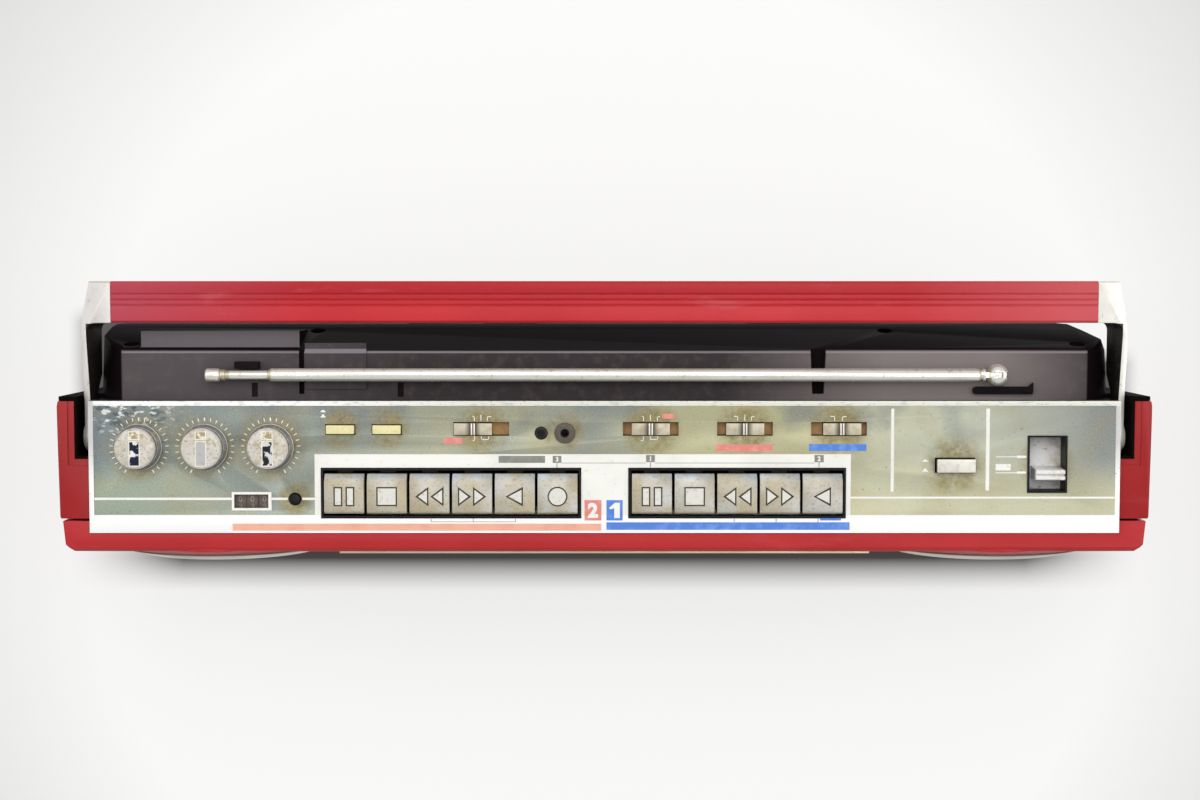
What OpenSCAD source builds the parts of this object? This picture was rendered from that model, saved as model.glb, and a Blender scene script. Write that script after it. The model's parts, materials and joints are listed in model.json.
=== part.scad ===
// Dual cassette radio recorder with a folding carrying handle, standing on its feet.
// Millimetres. +Z is up, the loudspeakers face -Y, and the origin lies on the table
// under the middle of the outline.

/* [Case] */
// Width over the two side covers
case_w = 545; // [541:1:565]
// Height from the table to the control panel
case_h = 138; // [136:0.5:150]
// Wall of the moulded cabinets
wall = 2.5; // [2:0.1:3]
// Depth of the front cabinet
front_d = 15.4; // [14:0.2:18]
// Groove between the front cabinet and the side covers
seam = 1.2; // [0.6:0.1:2]
// Depth of the side covers
cover_d = 58.8; // [58:0.2:66]
// Width of one side cover
cover_t = 16.1; // [15.5:0.1:18]
// How much narrower the front cabinet is on each side
front_step = 2.5; // [1:0.1:4]
// Bevel along the front edges
edge_bevel = 2; // [1:0.1:3]
// Cut on the front cabinet's upright corners
corner_cut = 4; // [2:0.5:6]
// How far the control panel stands above the red tops
panel_proud = 1; // [0.5:0.1:1.5]
// Height of the rubber feet
foot_h = 3; // [2:0.5:5]

/* [Rear cabinet] */
// Depth of the rear cabinet behind the panel
rear_d = 37; // [35:0.5:38]
// Drop from the panel to the rear cabinet's top
rear_drop = 9; // [8.5:0.1:10]
// Depth of the flat on the rear cabinet's top
rear_flat = 25; // [24:0.5:26]
// Height of the leaning part of the rear wall
lean_h = 46; // [40:1:46]
// Width of the battery box
battery_w = 248; // [240:1:256]
// Height of the battery box
battery_h = 68; // [66:0.5:69]
// Depth of the battery box
battery_d = 36; // [34.5:0.5:37]

/* [Control panel] */
// Depth of the control panel, front to back
panel_d = 65.9; // [65:0.1:68]
// Thickness of the control panel
panel_t = 3; // [2.5:0.1:3.2]
// Width of a transport key
key_w = 19.8; // [19:0.1:20.4]
// Distance between transport keys
key_pitch = 21.2; // [21:0.1:21.6]
// Depth of a transport key's cap
key_d = 19.8; // [18:0.1:20]
// Height of a key's cap above the panel
key_proud = 2.4; // [1.5:0.1:3]
// Diameter of a knob's skirt
knob_dia = 23.4; // [20:0.2:25]
// Height of a knob above the panel
knob_h = 10; // [8:0.5:12]
// Distance between knobs
knob_pitch = 32.7; // [30:0.1:36]
// Length of a slide switch's slot
slot_l = 27.6; // [26:0.2:29]
// Width of a slide switch's slot
slot_w = 6.8; // [6:0.1:7.4]

/* [Loudspeakers] */
// Radius of the round collar moulded on the front
collar_r = 64.5; // [62:0.5:64.5]
// Distance of a loudspeaker from the middle
speaker_x = 198.5; // [198.5:0.5:200]
// How far the trim rings stand out of the front
ring_proud = 6.5; // [5:0.5:8]
// Outer radius of a trim ring at its seat
ring_r = 58.5; // [56:0.5:59]
// Radius of the loudspeaker opening
mouth_r = 44.5; // [42:0.5:45]

/* [Cassette decks] */
// Distance of a deck from the middle
deck_x = 65.5; // [65:0.1:66.5]
// Width of a cassette door
door_w = 121; // [118:0.5:122]
// Height of a cassette door
door_h = 82; // [80:0.5:83]
// Thickness of a cassette door
door_t = 4; // [3.5:0.1:4.5]
// Depth of a cassette well behind its door
well_d = 14; // [13.6:0.2:15]
// Distance between the reel spindles
reel_pitch = 42.5; // [42:0.1:43]
// Width of the silver centre frame
frame_w = 265; // [264:0.5:265.5]

/* [Handle] */
// Distance from the pivot to the middle of the grip
arm_len = 67.9; // [67:0.1:72]
// Distance of the pivot in front of the panel's rear edge
pivot_in = 18.9; // [18:0.1:20]
// Drop from the panel to the pivot
pivot_drop = 17; // [16.5:0.1:18]
// Depth of the folded grip, front to back
grip_d = 20.8; // [18:0.2:22]
// Height of the folded grip
grip_h = 25; // [20:0.5:27]
// Thickness of a handle arm
arm_t = 3.2; // [3:0.1:3.4]

/* [Antenna] */
// Distance of the antenna's pivot from the middle
mast_x = 195.5; // [190:0.5:200]
// Length of the folded antenna from pivot to tip
mast_len = 394; // [380:1:400]
// Distance of the antenna behind the panel's rear edge
mast_in = 12.8; // [12:0.1:13.5]
// Radius of the outer tube
tube_r = 3.3; // [3.1:0.05:3.4]

/* [Fits] */
// Clearance of a sliding or turning piece in its opening
gap = 0.5; // [0.4:0.05:0.7]
// Radial clearance of a shaft in its bore
run = 0.08; // [0.05:0.01:0.1]
// Clearance between parts that are pressed together by screws
seat = 0.2; // [0.1:0.05:0.3]

/* [Hidden] */
$fn = 48;

// Levels
z_floor = foot_h;
z_top = case_h - panel_proud;
z_under = case_h - panel_t;
rear_top = case_h - rear_drop;
lean_z = rear_top - lean_h;

// Half widths
half_w = case_w / 2;
body_half = half_w - cover_t;
front_half = half_w - front_step;

// The controls keep their places on the panel when the case is made wider or narrower
spread = body_half / 256.4;

// Planes from front to back
handle_over = arm_len - pivot_in + grip_d / 2;
depth = ring_proud + front_d + seam + cover_d + handle_over;
y_ring = -depth / 2;
y_front = y_ring + ring_proud;
y_seam = y_front + front_d;
y_cover = y_seam + seam;
y_back = y_cover + cover_d;
y_rear = y_back + rear_d;
y_panel = y_back - panel_d;
pivot_y = y_back - pivot_in;
pivot_z = case_h - pivot_drop;

// Box between two corners
module slab(a, b) {
  translate(a) cube(b - a);
}

// A drawing in X and Z, from y0 to y1
module along_y(y0, y1) {
  translate([0, y1, 0]) rotate([90, 0, 0]) linear_extrude(y1 - y0) children();
}

// A drawing in Y and Z, from x0 to x1
module along_x(x0, x1) {
  translate([x0, 0, 0]) rotate([90, 0, 90]) linear_extrude(x1 - x0) children();
}

// A drawing in X and Y, from z0 to z1
module along_z(z0, z1) {
  translate([0, 0, z0]) linear_extrude(z1 - z0) children();
}

// Round bars along each axis
module bar_x(x0, x1, y, z, r) {
  translate([x0, y, z]) rotate([0, 90, 0]) cylinder(h = x1 - x0, r = r);
}
module bar_y(x, y0, y1, z, r) {
  translate([x, y0, z]) rotate([-90, 0, 0]) cylinder(h = y1 - y0, r = r);
}
module bar_z(x, y, z0, z1, r) {
  translate([x, y, z0]) cylinder(h = z1 - z0, r = r);
}

// A turned shape whose profile is radius and distance towards the back
module turn_y(x, y, z) {
  translate([x, y, z]) rotate([-90, 0, 0]) rotate_extrude() children();
}

// Rectangle between two corners with round corners
module round_rect(a, b, r) {
  translate([a.x + r, a.y]) square([b.x - a.x - 2 * r, b.y - a.y]);
  translate([a.x, a.y + r]) square([b.x - a.x, b.y - a.y - 2 * r]);
  for (x = [a.x + r, b.x - r], y = [a.y + r, b.y - r]) translate([x, y]) circle(r = r);
}

// The children and their mirror image on the other side
module both_sides() {
  children();
  mirror([1, 0, 0]) children();
}

// Loudspeakers

// Height of a loudspeaker's middle
collar_gap = 0.5;
speaker_z = z_top - collar_gap - collar_r;
collar_h = 2.5;
collar_top_r = ring_r + 0.5;
ring_h = ring_proud - collar_h;
ring_face = 3;
driver_flange = 2;
driver_r = mouth_r + 5.5;

module speaker_rings() {
  color("silver") both_sides() turn_y(speaker_x, y_ring, speaker_z)
    polygon([[mouth_r, 0], [mouth_r + ring_face, 0], [ring_r, ring_h - 0.8], [ring_r, ring_h],
             [mouth_r, ring_h]]);
}

// Concentric bars on eight spokes, held inside the trim ring and the front wall
grille_bar = 1.5;
grille_pitch = 4.2;
grille_in = 2.2;
grille_t = 1.8;
grille_rings = 9;
grille_boss = 5;

module grille_drawing() {
  outer = mouth_r - seat;
  difference() {
    circle(r = outer);
    circle(r = outer - 2);
  }
  for (i = [1 : grille_rings]) {
    r = grille_boss + i * grille_pitch;
    if (r < outer - 3) difference() {
      circle(r = r);
      circle(r = r - grille_bar);
    }
  }
  circle(r = grille_boss);
  for (a = [0 : 45 : 135]) rotate(a) square([2 * outer - 2, grille_bar], center = true);
}

module speaker_grilles() {
  color("dimgray") both_sides() translate([speaker_x, 0, speaker_z])
    along_y(y_ring + grille_in, y_ring + grille_in + grille_t) grille_drawing();
}

// Pressed basket with its magnet, and the paper cone with its dust cap
magnet_r = 30;
magnet_h = 12;
basket_h = 22;
cone_gap = 0.3;

module speaker_drivers() {
  back = driver_flange + basket_h;
  color("dimgray") both_sides() turn_y(speaker_x, y_front + wall, speaker_z) {
    polygon([[mouth_r, 0], [driver_r, 0], [driver_r, driver_flange], [mouth_r + 2, driver_flange],
             [magnet_r, back], [magnet_r, back + magnet_h], [0, back + magnet_h], [0, back - 2],
             [magnet_r - 6, back - 2], [mouth_r, 3]]);
    polygon([[0, 14], [9, 17], [mouth_r - 7, 4], [mouth_r - 3, 2.4], [mouth_r - cone_gap, 3],
             [mouth_r - cone_gap, 1], [mouth_r - 4, 1], [mouth_r - 8, 3], [9, 15.6], [0, 12.6]]);
  }
}

// Front cabinet: a shallow red shell with a seat for the panel and two round collars

frame_proud = 1.2;
frame_body = 2.8;
frame_lip = 2;
frame_x = frame_w / 2;
frame_z0 = z_floor + 7;
frame_z1 = z_top - 3;

module front_plan(inset, back) {
  f = front_half - 1.2;
  polygon([[-front_half + inset, y_seam + back], [-f + inset, y_front + corner_cut - 0.5],
           [-f + corner_cut + inset / 2, y_front + inset], [f - corner_cut - inset / 2, y_front + inset],
           [f - inset, y_front + corner_cut - 0.5], [front_half - inset, y_seam + back]]);
}

module front_profile() {
  polygon([[y_seam, z_floor], [y_front + edge_bevel, z_floor], [y_front, z_floor + edge_bevel],
           [y_front, z_top - edge_bevel], [y_front + edge_bevel, z_top], [y_seam, z_top]]);
}

module front_cabinet() {
  color("firebrick") difference() {
    union() {
      intersection() {
        along_z(z_floor, z_top) front_plan(0, 0);
        along_x(-half_w, half_w) front_profile();
      }
      both_sides() turn_y(speaker_x, y_front - collar_h, speaker_z)
        polygon([[0, 0], [collar_top_r, 0], [collar_r, collar_h], [collar_r, collar_h + edge_bevel],
                 [0, collar_h + edge_bevel]]);
    }
    along_z(z_floor + wall, z_under - wall) front_plan(wall, 1);
    slab([-body_half - seat, y_panel - seat, z_under], [body_half + seat, y_seam + 1, case_h]);
    both_sides() bar_y(speaker_x, y_ring, y_seam, speaker_z, mouth_r);
    slab([-frame_x + frame_lip, y_front - 1, frame_z0 + frame_lip],
         [frame_x - frame_lip, y_front + wall + 1, frame_z1 - frame_lip]);
  }
}

// Rear cabinet: the dark shell that holds the boards, the battery box and the antenna

arm_gap = 0.9;
arm_in = body_half + arm_gap;
arm_out = arm_in + arm_t;
hub_out = arm_out + 1.2;
hub_r = 8;
trunnion_r = 5;
pocket_in = hub_out + 0.6;
pocket_t = 1.2;
pocket_out = pocket_in + pocket_t;
pocket_z = pivot_z - hub_r - 2;
pocket_y = pivot_y - hub_r - 0.6;
flange_t = 2.2;
top_in = 15.4;
shoulder_turn = 38.7;
flank_turn = 29;

battery_x = 20;
battery_z = z_floor + 9;
battery_wall = 2;
battery_lip = 1.5;

inlet_x = -200 * spread;
inlet_z = 28;
inlet_w = 24;
inlet_h = 20;

bump_x0 = -233 * spread;
bump_x1 = -153.4 * spread;
bump_drop = 6;
bump_d = 34.4;
pad_x0 = -149.6 * spread;
pad_x1 = -119 * spread;
pad_h = 1.2;
groove_x = -151.5 * spread;
groove_w = 2.6;
channel_x = 107 * spread;
channel_r1 = 4.6;
channel_r2 = 3;

screw_well_r = 4;
screw_boss_r = 5.6;
screw_x = [for (x = [-239, -148, 145, 239]) x * spread];
screw_z = [z_top - 19, z_top - 42, z_top - 42, z_top - 19];
screw_in = 15;
low_screw_x = 230 * spread;
low_screw_z = 22;

// Seen from above, only the corner beside the antenna's base is cut
module rear_plan(t) {
  w = body_half - t;
  polygon([[-w, y_back - 4], [w, y_back - 4], [w, y_back + 24 - t / 2], [w - 3.4, y_back + 30 - t / 2],
           [w - 9, y_back + 34 - t / 2], [w - 14, y_rear - t], [-w + 1.5, y_rear - t],
           [-w, y_rear - 1.5 - t]]);
}

module rear_profile(t) {
  polygon([[y_back - 4, z_floor + t], [y_rear - 2 - t, z_floor + t], [y_rear - t, z_floor + 2 + t],
           [y_rear - t, lean_z], [y_back + rear_flat - t, rear_top - 1.2 - t],
           [y_back + rear_flat - 1.5 - t, rear_top - t], [y_back - 4, rear_top - t]]);
}

module rear_section(t) {
  w = body_half - t;
  half = [[w - 1, z_floor + t], [w, rear_top - 34], [w, rear_top - top_in / tan(shoulder_turn)],
          [w - top_in, rear_top - t]];
  polygon(concat(half, [for (i = [len(half) - 1 : -1 : 0]) [-half[i].x, half[i].y]]));
}

module rear_form(t) {
  difference() {
    intersection() {
      along_z(z_floor, case_h) rear_plan(t);
      along_x(-body_half, body_half) rear_profile(t);
      along_y(y_back - 10, y_rear + 1) rear_section(t);
    }
    both_sides() translate([body_half - 2.6 - t, y_back + 4, rear_top - 16]) rotate([0, -flank_turn, 5.3])
      translate([0, -100, -100]) cube([60, 200, 200]);
  }
}

module channel_form(t) {
  translate([channel_x, y_rear + 1, rear_top]) rotate([90, 0, 0])
    cylinder(h = rear_d - 2 + t, r1 = channel_r1 + t, r2 = channel_r2 + t);
}

module arm_pocket() {
  difference() {
    slab([body_half - 0.5, pocket_y - pocket_t, pocket_z - 2],
         [pocket_out, y_back + flange_t, z_top - 0.4]);
    slab([body_half - 1, pocket_y, pocket_z], [pocket_in, y_back + 9, case_h]);
    slab([body_half - 1, y_cover, z_under], [body_half + seat, y_back + seat, case_h]);
  }
  difference() {
    slab([body_half - 2, y_back, z_floor + 2], [half_w - 1.3, y_back + flange_t, z_top - 0.4]);
    slab([body_half - 3, y_back - 1, pocket_z], [pocket_in, y_back + 9, case_h]);
  }
  bar_x(body_half - 1, hub_out - 1, pivot_y, pivot_z, trunnion_r);
}

module screw_places() {
  for (i = [0 : len(screw_x) - 1]) translate([screw_x[i], 0, screw_z[i]]) children();
  both_sides() translate([low_screw_x, 0, low_screw_z]) children();
}

module battery_box(t) {
  slab([battery_x - battery_w / 2 - t, y_rear - battery_d - t, battery_z - t],
       [battery_x + battery_w / 2 + t, y_rear - wall / 2, battery_z + battery_h - battery_lip + t]);
}

clip_x0 = -184 * spread;
clip_x1 = clip_x0 + 12;
mast_z = rear_top + 5.5;
mast_y = y_back + mast_in;

module rear_cabinet() {
  color([0.33, 0.31, 0.32]) difference() {
    union() {
      difference() {
        union() {
          slab([-body_half, y_cover, z_floor], [body_half, y_back, z_under]);
          rear_form(0);
        }
        slab([-body_half + wall, y_cover - 1, z_floor + wall], [body_half - wall, y_back - wall, case_h]);
        slab([-body_half + 2 * wall + top_in, y_back - wall - 1, z_floor + wall],
             [body_half - 2 * wall - top_in, y_back + 1, rear_top - wall]);
        difference() {
          rear_form(wall);
          slab([-half_w, y_back - 6, 0], [half_w, y_back, case_h]);
        }
      }
      both_sides() arm_pocket();
      slab([bump_x0, y_back + rear_flat - 4, lean_z + 2],
           [bump_x1, y_back + bump_d, rear_top - bump_drop]);
      slab([pad_x0, y_back + 5.5, rear_top - 1], [pad_x1, y_back + rear_flat + 3.5, rear_top + pad_h]);
      battery_box(battery_wall);
      intersection() {
        rear_form(0);
        union() {
          screw_places() bar_y(0, y_back + 2, y_rear, 0, screw_boss_r);
          channel_form(1.8);
        }
      }
      slab([clip_x0, mast_y + tube_2_r + 0.3, rear_top - 1],
           [clip_x1, mast_y + tube_2_r + 3.8, mast_z + 0.8]);
      slab([mast_x - 9.8, y_back + 3, rear_top - 1], [mast_x + 18.6, y_back + 6.8, rear_top + 2]);
      bar_z(mast_x - 9.8, y_back + 4.9, rear_top - 1, rear_top + 2, 1.9);
      along_z(rear_top - 1, rear_top + 3) polygon([[mast_x + 12.4, y_back + 4], [mast_x + 18.6, y_back + 4],
                                                   [mast_x + 18.6, y_back + 8.8]]);
      for (x = [-200, -60, 60, 200], y = [y_cover + 12, y_back - 10])
        bar_z(x, y, z_floor + 1, board_z, 3);
    }
    battery_box(0);
    slab([battery_x - battery_w / 2, y_rear - wall - 1, battery_z],
         [battery_x + battery_w / 2, y_rear + 1, battery_z + battery_h]);
    slab([inlet_x - inlet_w / 2 - seat, y_rear - wall - 1, inlet_z - inlet_h / 2 - seat],
         [inlet_x + inlet_w / 2 + seat, y_rear + 1, inlet_z + inlet_h / 2 + seat]);
    slab([groove_x - groove_w / 2, y_back + 3, rear_top - 1.6], [groove_x + groove_w / 2, y_rear, case_h]);
    for (x = [-175 * spread, -102 * spread])
      slab([x - 1.5, y_back + 1.5, rear_top - 1.4], [x + 1.5, y_back + 8.6, case_h]);
    channel_form(0);
    screw_places() bar_y(0, y_back + screw_in, y_rear + 1, 0, screw_well_r);
    screw_places() bar_y(0, y_back - wall - 1, y_rear + 1, 0, 1.7);
  }
}

// Side covers: red shells that close over the handle's pockets

notch_gap = 0.3;
notch_x = pocket_out + notch_gap;
notch_y = pocket_y - pocket_t - notch_gap;
notch_z = pocket_z - 2 - notch_gap;
notch_lip = 3.2;
cover_wall = 2.2;
cover_round = 2;

module cover_plan(t) {
  polygon([[body_half + seat, y_cover + t], [half_w - 1.8 - t, y_cover + t],
           [half_w - 1.3 - t, y_cover + 1 + t], [half_w - t, y_back - 3 - t],
           [half_w - 0.8 - t, y_back - seat - t], [body_half + seat, y_back - seat - t]]);
}

module cover_section(t) {
  x1 = half_w + 0.1 - t;
  r = cover_round;
  intersection() {
    union() {
      translate([body_half, z_floor + t]) square([x1 - r - body_half, z_top - z_floor - 2 * t]);
      translate([body_half, z_floor + r + t]) square([x1 - body_half, z_top - z_floor - 2 * r - 2 * t]);
      for (z = [z_floor + r + t, z_top - r - t]) translate([x1 - r, z]) circle(r = r);
    }
    translate([body_half + seat, 0]) square([cover_t + 1, case_h]);
  }
}

module cover_form(t) {
  intersection() {
    along_z(0, case_h) cover_plan(t);
    along_y(y_cover - 1, y_back + 1) cover_section(t);
  }
}

module cover_shell() {
  difference() {
    cover_form(0);
    difference() {
      cover_form(cover_wall);
      slab([body_half - 1, notch_y - cover_wall, notch_z - cover_wall],
           [notch_x + cover_wall, y_back + 1, case_h]);
    }
    slab([body_half - 1, notch_y, notch_z], [notch_x, y_back + 1, case_h]);
    slab([body_half - 1, notch_y - notch_lip, z_top - 0.8], [notch_x + notch_lip, y_back + 1, case_h]);
  }
}

module side_cover_left() {
  color("firebrick") mirror([1, 0, 0]) cover_shell();
}
module side_cover_right() {
  color("firebrick") cover_shell();
}

// Control panel and what works through it

knob_y = y_back - 23;
knob_x = -198.6 * spread;
knob_hole_r = 3.6;
switch_y = y_back - 13.9;
switch_len = 18.9;
switch_end = 0.3;
switch_travel = slot_l - switch_len - 2 * switch_end;
function_x = -61.2 * spread;
edit_x = 23 * spread;
tape_2_x = 69.8 * spread;
tape_1_x = 116.5 * spread;
tape_1_rest = 1.4;
button_y = y_back - 14.2;
button_w = 14;
button_d = 4.3;
wide_x = -131.2 * spread;
mute_x = -108.1 * spread;
mode_x = 174.3 * spread;
mode_y = y_back - 32;
mode_w = 19;
mode_d = 6.6;
window_x0 = 211 * spread;
window_x1 = window_x0 + 18.5;
window_y0 = y_back - 45;
window_y1 = y_back - 17.8;
window_wall = 1.2;
lever_plate = z_under - 8.1;
counter_x = -175.8 * spread;
counter_y = y_back - 50;
counter_w = 17;
counter_d = 6.7;
reset_x = -154 * spread;
reset_y = y_back - 48.9;
reset_r = 2.7;
mic_x = -31.4 * spread;
jack_x = -19.7 * spread;
mic_y = y_back - 16;
mic_r = 3.3;
jack_r = 5;
jack_bore_r = 1.8;
jack_len = 14;

row_2_x = -76.3 * spread;
row_1_x = 66 * spread;
keys_front = y_back - 56;
keys_rear = keys_front + key_d;
key_axle_y = y_back - 31;
key_axle_z = z_under - 2.6;
key_axle_r = 1.25;
key_hub_r = 2.2;
key_front_gap = 1.2;
key_rear_gap = 1.6;
frame_wall = 1.2;
frame_rim = 0.5;

board_z = z_floor + wall + 5;
board_t = 1.6;
upper_z = z_under - 14;
upper_y0 = y_back - 27.5;
upper_y1 = y_back - 5;
post_x = [for (x = [-240, -150, -90, -5, 46.4, 93.2, 150, 200]) x * spread];
post_y = y_back - 8.5;
post_r = 2.4;

function row_half(n) = (n - 1) / 2 * key_pitch + key_w / 2 + gap;

module key_opening(x, n, grow) {
  slab([x - row_half(n) - grow, keys_front - key_front_gap - grow, z_under - 1],
       [x + row_half(n) + grow, keys_rear + key_rear_gap + grow, case_h + 5]);
}

module slot_hole(x) {
  slab([x - slot_l / 2, switch_y - slot_w / 2, z_under - 1],
       [x + slot_l / 2, switch_y + slot_w / 2, case_h + 1]);
}

module button_hole(x, y, w, d) {
  slab([x - w / 2 - gap, y - d / 2 - gap, z_under - 1], [x + w / 2 + gap, y + d / 2 + gap, case_h + 1]);
}

module control_panel() {
  rim = 2.4;
  color([0.66, 0.69, 0.63]) {
    difference() {
      union() {
        slab([-body_half, y_panel, z_under], [body_half, y_back, case_h]);
        for (x = post_x) bar_z(x, post_y, upper_z + board_t, z_under + 1, post_r);
        for (x = [counter_x - 11.4, counter_x + 9.8])
          slab([x, counter_y - 3, wheel_z - 3], [x + 1.6, counter_y + 3, z_under + 1]);
        slab([window_x0 - window_wall, window_y0 - window_wall, lever_plate + 0.3],
             [window_x1 + window_wall, window_y1 + window_wall, z_under + 1]);
      }
      for (i = [-1 : 1]) bar_z(knob_x + i * knob_pitch, knob_y, z_under - 1, case_h + 1, knob_hole_r);
      for (x = [function_x, edit_x, tape_2_x, tape_1_x]) slot_hole(x);
      for (x = [wide_x, mute_x]) button_hole(x, button_y, button_w, button_d);
      button_hole(mode_x, mode_y, mode_w, mode_d);
      slab([window_x0, window_y0, lever_plate], [window_x1, window_y1, case_h + 1]);
      slab([counter_x - counter_w / 2, counter_y - counter_d / 2, z_under - 1],
           [counter_x + counter_w / 2, counter_y + counter_d / 2, case_h + 1]);
      bar_x(counter_x - 12, counter_x + 12, counter_y, wheel_z, wheel_axle_r + run);
      bar_z(reset_x, reset_y, z_under - 1, case_h + 1, reset_r + gap);
      bar_z(mic_x, mic_y, z_under - 1, case_h + 1, mic_r);
      bar_z(jack_x, mic_y, z_under - 1, case_h + 1, jack_r + run);
      key_opening(row_2_x, 6, frame_wall + seat);
      key_opening(row_1_x, 5, frame_wall + seat);
      difference() {
        slab([-body_half + rim, y_panel + 9, case_h - 0.3], [body_half - rim, y_back - rim, case_h + 1]);
        slab([-body_half, y_panel, 0], [body_half, y_panel + 9, case_h + 1]);
      }
    }
  }
}

module key_frames() {
  color([0.08, 0.08, 0.08]) for (row = [[row_2_x, 6], [row_1_x, 5]]) difference() {
    intersection() {
      key_opening(row[0], row[1], frame_wall);
      slab([-half_w, y_panel, z_under], [half_w, y_back, case_h + frame_rim]);
    }
    key_opening(row[0], row[1], 0);
  }
}

// A transport key: cap, arm and hub on the common axle
module transport_key(row_x, n, i) {
  x = row_x + (i - (n - 1) / 2) * key_pitch;
  top = case_h + key_proud;
  foot = z_under - 7;
  color([0.72, 0.72, 0.7]) difference() {
    union() {
      along_x(x - key_w / 2, x + key_w / 2)
        polygon([[keys_front, foot], [keys_rear, foot], [keys_rear, top - 2.6], [keys_rear - 3.8, top],
                 [keys_front + 1, top], [keys_front, top - 1]]);
      slab([x - 4, keys_rear - 1, foot + 1], [x + 4, key_axle_y, key_axle_z + 1.4]);
      bar_x(x - 4, x + 4, key_axle_y, key_axle_z, key_hub_r);
    }
    bar_x(x - 9, x + 9, key_axle_y, key_axle_z, key_axle_r + run);
    slab([x - key_w / 2 + 1.5, keys_front + 1.5, foot - 1],
         [x + key_w / 2 - 1.5, keys_rear - 1.5, foot + 6.4]);
  }
}

module key_2_pause() { transport_key(row_2_x, 6, 0); }
module key_2_stop() { transport_key(row_2_x, 6, 1); }
module key_2_rewind() { transport_key(row_2_x, 6, 2); }
module key_2_forward() { transport_key(row_2_x, 6, 3); }
module key_2_play() { transport_key(row_2_x, 6, 4); }
module key_2_record() { transport_key(row_2_x, 6, 5); }
module key_1_pause() { transport_key(row_1_x, 5, 0); }
module key_1_stop() { transport_key(row_1_x, 5, 1); }
module key_1_rewind() { transport_key(row_1_x, 5, 2); }
module key_1_forward() { transport_key(row_1_x, 5, 3); }
module key_1_play() { transport_key(row_1_x, 5, 4); }

// Round knobs on the shafts of their potentiometers
knob_shaft_r = 3;
pot_r = 8;
pot_h = 8.5;
skirt_h = 2.2;
knob_top_r = knob_dia / 2 - 1.4;

module round_knob(x) {
  r = knob_dia / 2;
  z0 = case_h + 0.3;
  top = case_h + knob_h;
  color("silver") translate([x, knob_y, 0]) difference() {
    union() {
      rotate_extrude()
        polygon([[0, z0], [r, z0], [r, z0 + 1.4], [r - 0.8, z0 + skirt_h], [knob_top_r, z0 + skirt_h + 0.3],
                 [knob_top_r - 0.2, top - 0.8], [knob_top_r - 0.9, top], [0, top]]);
      bar_z(0, 0, upper_z + board_t + 1, z0 + 1, knob_shaft_r);
    }
    slab([-1.9, -8.6, top - 0.6], [1.9, 4, top + 1]);
    slab([-1.9, 5, top - 0.6], [1.9, 9, top + 1]);
  }
}

module volume_knob() { round_knob(knob_x - knob_pitch); }
module balance_knob() { round_knob(knob_x); }
module tone_knob() { round_knob(knob_x + knob_pitch); }

// Slide switch: a button with a hollow and a double ridge, and a stem down to its housing
stem_w = 2;
housing_h = 6;

module slide_switch(x) {
  w = switch_len / 2;
  d = slot_w / 2 - gap;
  color("silver") translate([x, switch_y, 0]) {
    translate([0, 0, case_h]) along_y(-d, d)
      polygon([[-w, -panel_t - 0.4], [-w, 1.8], [-4.2, 1.8], [-1.2, 0.7], [-1, 1.9], [-0.35, 1.9],
               [-0.2, 1.2], [0.2, 1.2], [0.35, 1.9], [1, 1.9], [1.2, 0.7], [4.2, 1.8], [w, 1.8],
               [w, -panel_t - 0.4]]);
    slab([-stem_w / 2, -stem_w / 2, upper_z + board_t + housing_h - 2.5],
         [stem_w / 2, stem_w / 2, z_under]);
  }
}

function_rest = -switch_travel / 2;
module function_switch() { slide_switch(function_x + function_rest); }
module edit_switch() { slide_switch(edit_x); }
module tape_switch_2() { slide_switch(tape_2_x); }
module tape_switch_1() { slide_switch(tape_1_x + tape_1_rest); }

// Push buttons with a stem that ends just over the switch on the board
module push_button(x, y, w, d, proud) {
  translate([x, y, 0]) {
    slab([-w / 2, -d / 2, z_under], [w / 2, d / 2, case_h + proud]);
    slab([-1.5, -1.5, upper_z + board_t + housing_h - 2], [1.5, 1.5, z_under + 1]);
  }
}

module wide_button() { color([0.92, 0.88, 0.63]) push_button(wide_x, button_y, button_w, button_d, 1.6); }
module mute_button() { color([0.92, 0.88, 0.63]) push_button(mute_x, button_y, button_w, button_d, 1.6); }
module fm_mode_button() { color("silver") push_button(mode_x, mode_y, mode_w, mode_d, 4.5); }

// Band lever: a plate that slides under the shaft of its window, with a tall double ridge to push
lever_travel = 8;
module band_lever() {
  y = y_back - 36.9;
  top = case_h + 1;
  foot = lever_plate - 0.4;
  color("white") {
    slab([window_x0 - 1, window_y0 - lever_travel - 0.6, lever_plate - 2.3],
         [window_x1 + 1, window_y1 + 0.8, lever_plate]);
    along_x(window_x0 + 3.4, window_x1 - 0.5)
      polygon([[y - 2.9, foot], [y - 2.6, top - 1], [y - 2.2, top], [y - 0.6, top], [y, top - 2],
               [y + 0.6, top], [y + 2.4, top], [y + 2.8, top - 1], [y + 3.5, foot]]);
  }
}

// Tape counter: three number wheels on one axle, and the reset button
wheel_r = 6;
wheel_w = 5.2;
wheel_pitch = 6;
wheel_axle_r = 1;
wheel_z = z_under - 0.5 - wheel_r;

module counter_wheels() {
  color("dimgray") {
    for (i = [-1 : 1])
      bar_x(counter_x + i * wheel_pitch - wheel_w / 2, counter_x + i * wheel_pitch + wheel_w / 2,
            counter_y, wheel_z, wheel_r);
    bar_x(counter_x - 11.4, counter_x + 11.4, counter_y, wheel_z, wheel_axle_r);
  }
}

module counter_reset() {
  color([0.1, 0.1, 0.1]) {
    bar_z(reset_x, reset_y, z_under - 4, case_h + 1.2, reset_r);
    bar_z(reset_x, reset_y, z_under - 5, z_under - 1, reset_r + 1);
  }
}

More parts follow.
